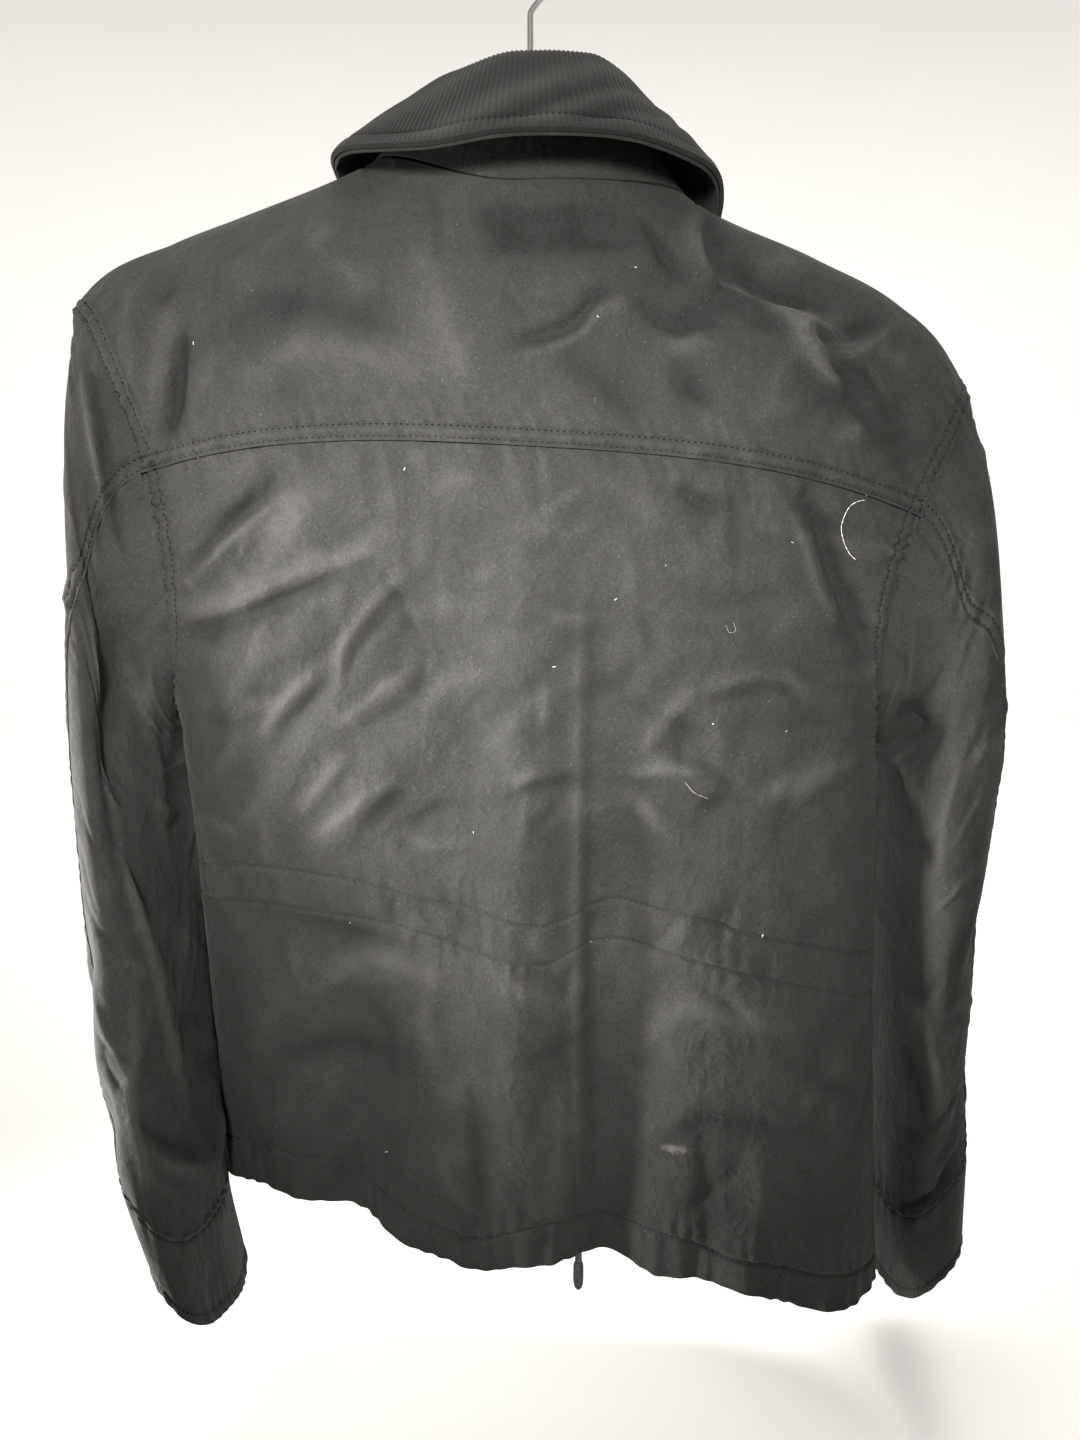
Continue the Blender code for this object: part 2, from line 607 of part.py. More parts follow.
def sleeve_points(side, turn, ring):
    turn, ring = np.broadcast_arrays(np.asarray(turn, float), np.asarray(ring, float))
    step_turn, step_ring = 0.8, 0.01

    def form(a, b):
        return sleeve_form(side, a, b)

    flip = -1 if side == "left" else 1
    low = np.clip(ring, step_ring, SLEEVE_END - step_ring)
    normals = form_normals(form, turn, low, (-step_turn, step_turn), (-step_ring, step_ring), flip)
    points = sleeve_form(side, turn, ring)
    places = np.stack([turn / SLEEVE_FOLD_ROUND, ring], axis=-1)
    rows = [(r[0], r[1] / SLEEVE_FOLD_ROUND, r[2], r[3] / SLEEVE_FOLD_ROUND, r[4],
             r[5] / SLEEVE_FOLD_ROUND, r[6], r[7], r[8]) for r in SLEEVE_FOLDS[side]]
    lift = fold_heights(places, rows) * soft(ring / 0.5) * soft((CUFF_RING + 0.6 - ring) / 0.6)
    return points + normals * lift[..., None], normals


def sleeve_rings():
    near = np.array([0.0, 0.45, 1.0])
    return np.concatenate([near, np.linspace(1.0, CUFF_RING, SLEEVE_STEPS - 1)[1:]])


# ================================================================ the collar
def neck_seam():
    """The neck seam from the left front edge round the back to the right."""
    u = columns()
    inner = u[(u >= NECK_ACROSS_LEFT - 1e-9) & (u <= NECK_ACROSS_RIGHT + 1e-9)]
    front_left, front_right = inner[inner <= 1e-9], inner[inner >= -1e-9]
    back = body_points(inner, neck_level(inner, -1), -1)[0]
    left = body_points(front_left, neck_level(front_left, 1), 1)[0]
    right = body_points(front_right, neck_level(front_right, 1), 1)[0]
    return np.concatenate([left[::-1], back[1:-1], right[::-1]])


def along(points):
    lengths = np.linalg.norm(np.diff(points, axis=0), axis=-1)
    return np.concatenate([[0.0], np.cumsum(lengths)])


def collar_stations(count):
    """Seam points, outward directions and shares of the way round the neck."""
    seam = neck_seam()
    run = along(seam)
    share = np.linspace(COLLAR_END, 1 - COLLAR_END, count + 1)

    def seam_at(places):
        return np.stack([np.interp(places, run / run[-1], seam[:, i]) for i in range(3)], axis=-1)

    points = seam_at(share)
    ahead = seam_at(np.clip(share + 0.03, 0, 1))
    behind = seam_at(np.clip(share - 0.03, 0, 1))
    heading = unit((ahead - behind) * np.array([1.0, 1.0, 0.0]))
    outward = np.stack([heading[:, 1], -heading[:, 0], np.zeros(len(share))], axis=-1)
    front = soft((np.abs(share - 0.5) - 0.38) / 0.12)[:, None]
    ahead_only = np.array([0.0, 1.0, 0.0])
    return points, unit(outward * (1 - front) + ahead_only * front), share


def collar_profile(count, depth):
    """Grid of the collar's layer that lies depth inside its knit face."""
    points, outward, share = collar_stations(count)
    flat = collar_rows(*read(COLLAR, share))
    heading = unit(np.gradient(flat, axis=0))
    facing = np.stack([-heading[..., 1], heading[..., 0]], axis=-1)

    def lifted(rows):
        return outward * rows[..., :1] + np.array([0.0, 0.0, 1.0]) * rows[..., 1:]

    normals = lifted(facing)
    return points + lifted(flat) - normals * depth, normals


def collar_rows(fold_in, fold_up, edge_out, edge_up):
    """The profile at every station, as rows of (outward, up) from the seam."""
    r = FOLD_ROUND
    base = np.full_like(fold_in, STAND_INSET)
    rows = (
        (-base, np.full_like(fold_in, -COLLAR_DROP)),
        (-fold_in, fold_up - r),
        (-fold_in + 0.45 * r, fold_up - 0.1 * r),
        (-fold_in + 1.4 * r, fold_up - 0.05 * r),
        ((edge_out - fold_in + 2 * r) / 2 + LEAF_BELLY, (edge_up + fold_up - r) / 2 + LEAF_BELLY),
        (edge_out, edge_up),
    )
    return np.array([np.stack(row, axis=-1) for row in rows])


def ribbed(grid, normals):
    """The knit face with its ribs, between the columns of a plain grid."""
    length = along(grid[0])[-1]
    per_step = max(2, 2 * round(length / RIB_PITCH / (grid.shape[1] - 1)))
    fine = np.linspace(0, grid.shape[1] - 1, per_step * (grid.shape[1] - 1) + 1)
    low = np.minimum(fine.astype(int), grid.shape[1] - 2)
    part = (fine - low)[None, :, None]
    points = grid[:, low] * (1 - part) + grid[:, low + 1] * part
    facing = unit(normals[:, low] * (1 - part) + normals[:, low + 1] * part)
    height = np.where(np.arange(len(fine)) % 2 == 1, RIB_HEIGHT, 0.0)
    share = np.ones(grid.shape[0])
    share[0] = 0.0
    return points + facing * (height[None, :] * share[:, None])[..., None]


# ============================================================== solid building
def signed_volume(points, faces):
    a, b, c = (points[faces[:, i]] for i in range(3))
    return np.einsum("ij,ij->i", a, np.cross(b, c)).sum() / 6


def make_object(name, points, faces, material, smooth=True):
    points, faces = np.asarray(points, float), np.asarray(faces, int)
    if signed_volume(points, faces) < 0:
        faces = faces[:, ::-1]
    mesh = bpy.data.meshes.new(name)
    mesh.from_pydata(points.tolist(), [], faces.tolist())
    mesh.materials.append(material)
    if smooth:
        mesh.shade_smooth()
        mesh.set_sharp_from_angle(angle=math.radians(40))
    item = bpy.data.objects.new(name, mesh)
    bpy.context.collection.objects.link(item)
    return item


def two_triangles(a, b, c, d):
    return np.concatenate([np.stack([a, b, c], -1).reshape(-1, 3),
                           np.stack([a, c, d], -1).reshape(-1, 3)])


def grid_faces(index, points=None):
    """Two triangles a cell, split along its shorter diagonal where points are given."""
    a, b, c, d = index[:-1, :-1], index[:-1, 1:], index[1:, 1:], index[1:, :-1]
    if points is None:
        return two_triangles(a, b, c, d)
    one = np.linalg.norm(points[:-1, :-1] - points[1:, 1:], axis=-1)
    other = np.linalg.norm(points[:-1, 1:] - points[1:, :-1], axis=-1)
    keep = one <= other
    turn = ~keep
    return np.concatenate([two_triangles(a[keep], b[keep], c[keep], d[keep]),
                           two_triangles(b[turn], c[turn], d[turn], a[turn])])


def strip_faces(outer, inner):
    return two_triangles(outer[:-1], outer[1:], inner[1:], inner[:-1])


def wall(name, outer, normals, thickness, material, ring=False, shape=None):
    """One closed wall: outer grid, inner grid and the rims between them."""
    rows, cols = outer.shape[:2]
    inner = outer - normals * thickness
    if ring:
        outer, inner = outer[:, :-1], inner[:, :-1]
        cols -= 1
    index = np.arange(rows * cols).reshape(rows, cols)
    shape = outer if shape is None else shape
    if ring:
        index = np.concatenate([index, index[:, :1]], axis=1)
        shape = np.concatenate([shape, shape[:, :1]], axis=1)
    far = index + rows * cols
    faces = [grid_faces(index, shape), grid_faces(far, shape)[:, ::-1]]
    faces.append(strip_faces(index[0], far[0])[:, ::-1])
    faces.append(strip_faces(index[-1], far[-1]))
    if not ring:
        faces.append(strip_faces(index[:, 0], far[:, 0]))
        faces.append(strip_faces(index[:, -1], far[:, -1])[:, ::-1])
    points = np.concatenate([outer.reshape(-1, 3), inner.reshape(-1, 3)])
    return make_object(name, points, np.concatenate(faces), material)


def share_normals(first, second):
    """One direction for the two rims of a seam, unless the cloth doubles back."""
    both = unit(first + second)
    meet = (np.einsum("...i,...i->...", first, second) > -0.35)[..., None]
    first[...], second[...] = np.where(meet, both, first), np.where(meet, both, second)


def draw_back(grid, sides):
    """Each sewn edge drawn back into its own panel by half the seam gap."""
    half = SEAM_GAP / 2
    for side in sides:
        edge, near = {
            "top": (grid[0], grid[1]), "bottom": (grid[-1], grid[-2]),
            "left": (grid[:, 0], grid[:, 1]), "right": (grid[:, -1], grid[:, -2]),
        }[side]
        edge += unit(near - edge) * half


# ============================================================== small solids
def seat_height(grid, shape, place, axis, radius):
    """How far a disc moves along its axis until it clears a grid's facets."""
    index = np.arange(grid.shape[0] * grid.shape[1]).reshape(grid.shape[:2])
    a, b, c = np.moveaxis(grid.reshape(-1, 3)[grid_faces(index, shape)], 1, 0)
    side, other = b - a, c - a
    across_axis = np.cross(axis, other)
    scale = np.einsum("ij,ij->i", side, across_axis)
    scale = np.where(abs(scale) < 1e-12, np.inf, scale)
    helper = unit(np.cross(axis, np.array([0.3, 0.1, 0.9])))
    around = np.cross(axis, helper)
    highest = -1.0
    for share in (0.0, 0.35, 0.7, 1.0):
        for angle in np.linspace(0, 2 * math.pi, 25)[:-1]:
            spot = place + share * radius * (math.cos(angle) * helper + math.sin(angle) * around)
            gap = spot - a
            u = np.einsum("ij,ij->i", gap, across_axis) / scale
            turn = np.cross(gap, side)
            v = turn @ axis / scale
            hit = (u >= 0) & (v >= 0) & (u + v <= 1) & np.isfinite(scale)
            if hit.any():
                height = np.einsum("ij,ij->i", other, turn)[hit] / scale[hit]
                highest = max(highest, height.max())
    return highest


def turned(name, profile, place, axis, material, sides=16):
    """A solid turned about an axis: profile holds radius and height rows."""
    axis = np.asarray(axis, float)
    helper = np.array([0.0, 0.0, 1.0]) if abs(axis[2]) < 0.9 else np.array([1.0, 0.0, 0.0])
    x = unit(np.cross(helper, axis))
    y = np.cross(axis, x)
    angles = np.arange(sides) * 2 * math.pi / sides
    rings = [np.array(place) + axis * h + r * (np.outer(np.cos(angles), x) + np.outer(np.sin(angles), y))
             for r, h in profile]
    points = np.concatenate(rings + [[np.array(place) + axis * profile[0][1]],
                                     [np.array(place) + axis * profile[-1][1]]])
    n = len(profile)
    index = np.arange(n * sides).reshape(n, sides)
    index = np.concatenate([index, index[:, :1]], axis=1)
    bottom, top = n * sides, n * sides + 1
    faces = [grid_faces(index)]
    faces.append(np.stack([index[0, 1:], index[0, :-1], np.full(sides, bottom)], -1))
    faces.append(np.stack([index[-1, :-1], index[-1, 1:], np.full(sides, top)], -1))
    return make_object(name, points, np.concatenate(faces), material)


def swept(name, path, radii_y, radii_z, material, sides=10):
    """A rod of oval section along a path in the XZ plane, with flat ends."""
    path = np.asarray(path, float)
    heading = unit(np.gradient(path, axis=0))
    side = np.array([0.0, 1.0, 0.0])
    upright = unit(np.cross(heading, side))
    angles = np.arange(sides) * 2 * math.pi / sides
    rings = [p + ry * np.outer(np.cos(angles), side) + rz * np.outer(np.sin(angles), up)
             for p, up, ry, rz in zip(path, upright, radii_y, radii_z)]
    n = len(path)
    points = np.concatenate(rings + [path[:1], path[-1:]])
    index = np.arange(n * sides).reshape(n, sides)
    index = np.concatenate([index, index[:, :1]], axis=1)
    first, last = n * sides, n * sides + 1
    faces = [grid_faces(index)]
    faces.append(np.stack([index[0, 1:], index[0, :-1], np.full(sides, first)], -1))
    faces.append(np.stack([index[-1, :-1], index[-1, 1:], np.full(sides, last)], -1))
    return make_object(name, points, np.concatenate(faces), material)


def hook_path():
    """Stem up the middle, a bend to the side and the arc over the rail."""
    radius = HOOK_RADIUS + WIRE / 2
    centre_z = WIRE / 2 - radius
    bottom = BAR[5][2] + SEAM_GAP
    stem = [(0.0, z) for z in np.linspace(bottom, HOOK_STEM_TOP, 6)]
    arc = [(radius * math.cos(a), centre_z + radius * math.sin(a))
           for a in np.radians(np.linspace(*HOOK_ARC, 17))]
    flat = np.array(stem + list(HOOK_BEND) + arc)
    return np.stack([flat[:, 0], np.zeros(len(flat)), flat[:, 1]], axis=-1)


def make_material(name):
    colour, roughness, metallic = COLOURS[name]
    material = bpy.data.materials.new(name)
    material.use_nodes = True
    shader = material.node_tree.nodes["Principled BSDF"]
    shader.inputs["Base Color"].default_value = (*colour, 1.0)
    shader.inputs["Roughness"].default_value = roughness
    shader.inputs["Metallic"].default_value = metallic
    return material


# ============================================================ the pieces
def cut_panels():
    """Outer points and normals of every panel, with shared seam rims."""
    panels = {"yoke": yoke_grid(), "back": back_grid()}
    for side in ("left", "right"):
        panels["front_" + side] = front_grid(side)
        upper, under = sleeve_turns()
        rings = sleeve_rings()[:, None]
        panels["upper_" + side] = sleeve_points(side, upper[None, :], rings)
        panels["under_" + side] = sleeve_points(side, under[None, :], rings)
        cuff = np.concatenate([upper, under[1:]])
        steps = np.linspace(CUFF_RING, SLEEVE_END, CUFF_STEPS + 1)[:, None]
        panels["cuff_" + side] = sleeve_points(side, cuff[None, :], steps)
    sew_body(panels)
    for side in ("left", "right"):
        sew_sleeve(panels, side)
    return panels


def sew_body(panels):
    yoke, back = panels["yoke"][1], panels["back"][1]
    share_normals(yoke[-1], back[0])
    for side in ("left", "right"):
        front = panels["front_" + side][1]
        near = slice(0, SHOULDER_STEPS + 1) if side == "left" else slice(-SHOULDER_STEPS - 1, None)
        share_normals(yoke[0, near], front[0, near])
        edge = 0 if side == "left" else -1
        lower = slice(ARMHOLE_STEPS, None)
        share_normals(back[lower, edge], front[FRONT_TOP_STEPS + ARMHOLE_STEPS:, edge])
    share_normals(panels["front_left"][1][:, -1], panels["front_right"][1][:, 0])
    draw_back(panels["yoke"][0], ("top", "bottom"))
    draw_back(panels["back"][0], ("top", "left", "right"))
    draw_back(panels["front_left"][0], ("top", "left", "right"))
    draw_back(panels["front_right"][0], ("top", "left", "right"))


def sew_sleeve(panels, side):
    upper, under, cuff = (panels[k + side][1] for k in ("upper_", "under_", "cuff_"))
    share_normals(upper[:, -1], under[:, 0])
    share_normals(upper[:, 0], under[:, -1])
    edge = 0 if side == "left" else -1
    yoke, back = panels["yoke"][1], panels["back"][1]
    front = panels["front_" + side][1]
    top = FRONT_TOP_STEPS
    share_normals(yoke[:, edge], upper[0, top:])
    share_normals(front[:top + 1, edge], upper[0, top::-1])
    share_normals(back[:ARMHOLE_STEPS + 1, edge], under[0, :ARMHOLE_STEPS + 1])
    share_normals(front[top:top + ARMHOLE_STEPS + 1, edge], under[0, :ARMHOLE_STEPS - 1:-1])
    count = upper.shape[1]
    share_normals(cuff[0, :count], upper[-1])
    share_normals(cuff[0, count - 1:], under[-1])
    cuff[:, -1] = cuff[:, 0]
    draw_back(panels["upper_" + side][0], ("bottom", "left", "right"))
    draw_back(panels["under_" + side][0], ("bottom", "left", "right"))
    draw_back(panels["cuff_" + side][0], ("top",))


def build_panels(panels, canvas):
    names = {"yoke": "back_yoke", "back": "back_panel",
             "front_left": "front_left", "front_right": "front_right",
             "upper_left": "sleeve_left_upper", "upper_right": "sleeve_right_upper",
             "under_left": "sleeve_left_under", "under_right": "sleeve_right_under",
             "cuff_left": "cuff_left", "cuff_right": "cuff_right"}
    for key, name in names.items():
        points, normals = panels[key]
        wall(name, points, normals, CLOTH, canvas, ring=key.startswith("cuff"))


def build_collar(canvas, knit):
    grid, normals = collar_profile(COLLAR_STEPS, 0.0)
    outer = ribbed(grid, normals)
    inner = grid - normals * RIB_WALL
    fine, coarse = outer.shape[1], inner.shape[1]
    rows = grid.shape[0]
    index = np.arange(rows * fine).reshape(rows, fine)
    far = np.arange(rows * coarse).reshape(rows, coarse) + rows * fine
    faces = [grid_faces(index), grid_faces(far, grid)[:, ::-1]]
    faces.append(fan_rim(index[0], far[0])[:, ::-1])
    faces.append(fan_rim(index[-1], far[-1]))
    faces.append(strip_faces(index[:, 0], far[:, 0]))
    faces.append(strip_faces(index[:, -1], far[:, -1])[:, ::-1])
    points = np.concatenate([outer.reshape(-1, 3), inner.reshape(-1, 3)])
    make_object("collar_rib", points, np.concatenate(faces), knit)
    under, facing = collar_profile(COLLAR_STEPS, RIB_WALL + COLLAR_GAP)
    wall("collar_under", under, facing, UNDER_WALL, canvas, shape=grid)


def fan_rim(fine, coarse):
    """Rim between a finely and a coarsely divided edge."""
    per = (len(fine) - 1) // (len(coarse) - 1)
    faces = []
    for i in range(len(coarse) - 1):
        span = fine[i * per:(i + 1) * per + 1]
        half = per // 2
        faces += [(span[j], span[j + 1], coarse[i]) for j in range(half)]
        faces.append((span[half], coarse[i + 1], coarse[i]))
        faces += [(span[j], span[j + 1], coarse[i + 1]) for j in range(half, per)]
    return np.array(faces)


def build_fly(panels, canvas, button):
    """The front fly lies on both front panels; its buttons lie on the fly."""
    left_points, left_normals = panels["front_left"]
    right_points, right_normals = panels["front_right"]
    top = 1
    middle = (left_points[top:, -1] + right_points[top:, 0]) / 2
    facing = unit(left_normals[top:, -1] + right_normals[top:, 0])
    sides = []
    for points in (left_points[top:, ::-1], right_points[top:]):
        run = np.linalg.norm(points[:, 1] - points[:, 0], axis=-1)
        share = (PLACKET_HALF / run)[:, None]
        sides.append(points[:, 0] + (points[:, 1] - points[:, 0]) * np.minimum(share, 0.98))
    grid = np.stack([sides[0], middle, sides[1]], axis=1)
    normals = np.stack([facing] * 3, axis=1)
    outer = grid + normals * (CLOTH + SEAM_GAP)
    wall("front_fly", outer, normals, CLOTH, canvas)
    levels = np.concatenate([np.full(FRONT_TOP_STEPS, np.nan), BACK_LEVELS])[top:]
    known = ~np.isnan(levels)
    for number, level in enumerate(BUTTON_LEVELS, 1):
        place = np.array([np.interp(level, levels[known], outer[known, 1, i]) for i in range(3)])
        axis = unit(np.array([np.interp(level, levels[known], facing[known, i]) for i in range(3)]))
        profile = [(BUTTON_RADIUS - BUTTON_EDGE, 0.0), (BUTTON_RADIUS, BUTTON_EDGE),
                   (BUTTON_RADIUS, BUTTON_THICK - BUTTON_EDGE),
                   (BUTTON_RADIUS - 1.5 * BUTTON_EDGE, BUTTON_THICK)]
        rise = seat_height(outer, outer, place, axis, BUTTON_RADIUS)
        turned(f"button_{number}", profile, place + axis * (rise + SEAM_GAP), axis, button)


def build_hanger(wood, steel):
    x = np.linspace(BAR[0][1], BAR[-1][1], 22)
    z = through(column(BAR, 1), column(BAR, 2), x) - BAR_HALF_Z
    path = np.stack([x, np.zeros_like(x), z], axis=-1)
    taper = np.clip(np.minimum(x - x[0], x[-1] - x) / BAR_TIP, 0, 1)
    size = 0.55 + 0.45 * np.sqrt(taper)
    swept("hanger_bar", path, BAR_HALF_Y * size, BAR_HALF_Z * size, wood, sides=12)
    hook = hook_path()
    radii = np.full(len(hook), WIRE / 2)
    swept("hanger_hook", hook, radii, radii, steel, sides=8)


def build_drawcord(panels, steel, cord_material):
    """Eyelet inside the back's waist casing and the cord's free end."""
    x, z = EYELET_PLACE
    u = across_at(x, z)
    outer, normal = body_points(np.array([u[0]]), np.array([u[1]]), -1)
    inward = -normal[0]
    wall_inside = panels["back"][0] - panels["back"][1] * CLOTH
    rise = seat_height(wall_inside, panels["back"][0], outer[0], inward, EYELET_RADIUS)
    seat = outer[0] + inward * (rise + SEAM_GAP)
    profile = [(EYELET_RADIUS - 0.0004, 0.0), (EYELET_RADIUS, 0.0006),
               (EYELET_RADIUS - 0.0008, EYELET_HEIGHT)]
    eyelet_ring("cord_eyelet", profile, EYELET_BORE, seat, inward, steel)
    flat_in = unit(inward * np.array([1.0, 1.0, 0.0]))
    start = seat + inward * (EYELET_HEIGHT + SEAM_GAP)
    rows = np.array(CORD_LENGTH_PLACES)
    route = start + flat_in * rows[:, 1:2] + np.array([0.0, 0.0, -1.0]) * rows[:, 0:1]
    run = along(route)
    points = through(run, route, np.linspace(0, run[-1], 26))
    curve = bpy.data.curves.new("drawcord", "CURVE")
    curve.dimensions = "3D"
    curve.bevel_depth = CORD / 2
    curve.bevel_resolution = 2
    curve.use_fill_caps = True
    spline = curve.splines.new("POLY")
    spline.points.add(len(points) - 1)
    for knot, point in zip(spline.points, points):
        knot.co = (*point, 1.0)
    curve.materials.append(cord_material)
    item = bpy.data.objects.new("drawcord", curve)
    bpy.context.collection.objects.link(item)
    tip = points[-1] + np.array([0.0, 0.0, -SEAM_GAP])
    turned("drawcord_tip", TIP_SHAPE, tip, (0.0, 0.0, -1.0), cord_material, sides=10)


def across_at(x, z):
    """The place across and the level of a point of the back, by search."""
    u, level = np.meshgrid(np.linspace(-0.9, 0.9, 181), np.linspace(4, 7, 301))
    points = body_form(u, level, -1)
    best = np.argmin((points[..., 0] - x) ** 2 + (points[..., 2] - z) ** 2)
    return u.flat[best], level.flat[best]


def eyelet_ring(name, profile, bore, place, axis, material, sides=16):
    """A short tube with a rounded outside, standing on the casing."""
    axis = np.asarray(axis, float)
    x = unit(np.cross(np.array([0.0, 0.0, 1.0]), axis))
    y = np.cross(axis, x)
    angles = np.arange(sides) * 2 * math.pi / sides
    around = np.outer(np.cos(angles), x) + np.outer(np.sin(angles), y)
    loop = profile + [(bore, profile[-1][1]), (bore, 0.0)]
    points = np.concatenate([place + axis * h + r * around for r, h in loop])
    n = len(loop)
    index = np.arange(n * sides).reshape(n, sides)
    index = np.concatenate([index, index[:, :1]], axis=1)
    index = np.concatenate([index, index[:1]], axis=0)
    return make_object(name, points, grid_faces(index), material)


def main():
    for item in list(bpy.data.objects):
        bpy.data.objects.remove(item)
    material = {name: make_material(name) for name in COLOURS}
    panels = cut_panels()
    build_panels(panels, material["canvas"])
    build_collar(material["canvas"], material["rib_knit"])
    build_fly(panels, material["canvas"], material["button"])
    build_hanger(material["hanger"], material["steel"])
    build_drawcord(panels, material["steel"], material["cord"])


main()
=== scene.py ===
"""The looks of the dark canvas jacket on its hanger.

Every cloth piece is a thin shell on the same form as its solid, worked out from the
same sections, with the creases, laps, furrows and puckers of the real cloth added.
The back faces -Y, the origin is the inside top of the hanger's hook.
"""

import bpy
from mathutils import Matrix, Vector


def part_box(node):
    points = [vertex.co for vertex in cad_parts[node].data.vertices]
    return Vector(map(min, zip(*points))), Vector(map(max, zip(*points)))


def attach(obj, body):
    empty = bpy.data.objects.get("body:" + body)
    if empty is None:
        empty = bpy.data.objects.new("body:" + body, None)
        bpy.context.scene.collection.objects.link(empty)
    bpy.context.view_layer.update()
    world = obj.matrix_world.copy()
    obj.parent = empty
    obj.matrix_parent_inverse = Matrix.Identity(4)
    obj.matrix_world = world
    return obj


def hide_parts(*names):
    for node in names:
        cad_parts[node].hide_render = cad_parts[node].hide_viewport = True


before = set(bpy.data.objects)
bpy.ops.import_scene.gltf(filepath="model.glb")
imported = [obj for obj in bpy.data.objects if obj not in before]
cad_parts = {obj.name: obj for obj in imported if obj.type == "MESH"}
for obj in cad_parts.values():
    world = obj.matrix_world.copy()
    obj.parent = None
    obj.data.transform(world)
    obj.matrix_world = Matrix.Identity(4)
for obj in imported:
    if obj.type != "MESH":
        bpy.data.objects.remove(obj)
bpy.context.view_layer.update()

import math

import bpy
import numpy as np

# ------------------------------------------------------------- driving sizes
CLOTH = 0.0018            # canvas wall, turned and stitched
RIB_WALL = 0.0024         # rib knit of the upper collar, under its ribs
RIB_HEIGHT = 0.0006       # how far a knit rib stands above the knit wall
RIB_PITCH = 0.0023        # one rib and the groove beside it
SEAM_GAP = 0.0003         # left between pieces that are sewn together
SLEEVE_SHIFT = 0.0004     # the sleeve head lies this far outside its armhole
WIRE = 0.0032             # hook wire
HOOK_RADIUS = 0.018       # inside radius of the hook
CORD = 0.0042             # waist drawcord
BUTTON_THICK = 0.0030
PLACKET_HALF = 0.024      # half the width of the front fly
SIDE_NAMES = ("left", "right")

# --------------------------------------------- rows across the body, by level
# level 0 is the shoulder crest, 1 the yoke seam, 3 the underarm, 7 the hem
YOKE, UNDERARM, HEM = 1, 3, 7
SHOULDER_SEAM = 0.2       # the yoke's front edge: this level on the front

# The crest line over the hanger; the neck hole is cut out of its middle
CREST = (
    # place            x       z
    ("left tip",     -0.245, -0.190),
    ("left end",     -0.232, -0.177),
    ("left arm",     -0.189, -0.157),
    ("left middle",  -0.152, -0.144),
    ("left neck",    -0.088, -0.120),
    ("centre",        0.000, -0.070),
    ("right neck",    0.088, -0.138),
    ("right middle",  0.152, -0.165),
    ("right arm",     0.196, -0.187),
    ("right end",     0.222, -0.209),
    ("right tip",     0.238, -0.234),
)
NECK_LEFT, NECK_RIGHT = -0.088, 0.088
NECK_BACK_LEVEL, NECK_FRONT_LEVEL = 0.55, 0.78
NECK_ROUND = 2.0          # 2 is an ellipse, more is squarer

# Round each armhole: 0 at the shoulder tip, 90 at the back, 180 underarm
ARMHOLES = {
    "left": (
        # turn    x       y       z
        (0,    -0.245,  0.000, -0.190),
        (28,   -0.229, -0.028, -0.204),
        (75,   -0.199, -0.046, -0.277),
        (112,  -0.191, -0.048, -0.332),
        (150,  -0.193, -0.032, -0.385),
        (180,  -0.200,  0.000, -0.405),
        (210,  -0.195,  0.033, -0.386),
        (248,  -0.188,  0.050, -0.334),
        (285,  -0.196,  0.050, -0.275),
        (332,  -0.227,  0.030, -0.205),
    ),
    "right": (
        (0,     0.238,  0.000, -0.234),
        (28,    0.226, -0.029, -0.251),
        (75,    0.201, -0.047, -0.299),
        (112,   0.188, -0.049, -0.346),
        (150,   0.188, -0.034, -0.398),
        (180,   0.196,  0.000, -0.419),
        (210,   0.189,  0.034, -0.400),
        (248,   0.185,  0.051, -0.347),
        (285,   0.197,  0.051, -0.297),
        (332,   0.224,  0.030, -0.250),
    ),
}
LEVEL_TURNS = ((0, 0.0), (1, 75.0), (2, 112.0), (3, 180.0))

# Middle of each row: height, depth of the back and of the front, and how
# square the row's left and right ends are (2 is an ellipse)
ROWS = (
    # level  z_mid  back_y  front_y  left_sq  right_sq  corner
    (1,    -0.264, -0.066,  0.068,   2.4,     2.6,      1.2),
    (2,    -0.331, -0.069,  0.072,   2.8,     3.0,      1.5),
    (3,    -0.408, -0.071,  0.073,   3.2,     3.6,      2.6),
    (4,    -0.458, -0.071,  0.073,   3.0,     3.8,      2.6),
    (5,    -0.516, -0.069,  0.070,   2.7,     4.0,      2.6),
    (6,    -0.618, -0.071,  0.069,   2.4,     4.0,      2.4),
    (7,    -0.726, -0.070,  0.066,   2.2,     4.0,      2.3),
)
# The side seams below the underarm
SIDES = (
    # level  left_x  left_y  left_z  right_x  right_y  right_z
    (3,    -0.200,  0.000, -0.405,  0.196,   0.000,  -0.419),
    (4,    -0.197,  0.001, -0.450,  0.199,  -0.001,  -0.473),
    (5,    -0.196,  0.005, -0.498,  0.201,  -0.004,  -0.541),
    (6,    -0.1968, 0.013, -0.597,  0.205,  -0.012,  -0.646),
    (7,    -0.1986, 0.020, -0.704,  0.211,  -0.020,  -0.750),
)
# How much higher or lower than its row the back's hem hangs, by place across
HEM_SWING = (
    # u      rise
    (-1.00,  0.000),
    (-0.80,  0.009),
    (-0.55,  0.006),
    (-0.30, -0.002),
    (-0.05,  0.006),
    (0.15,   0.012),
    (0.32,   0.010),
    (0.42,   0.012),
    (0.60,   0.007),
    (0.80,  -0.003),
    (1.00,   0.000),
)
HEM_SWING_FROM = 5.0      # the level where the hem's swing begins

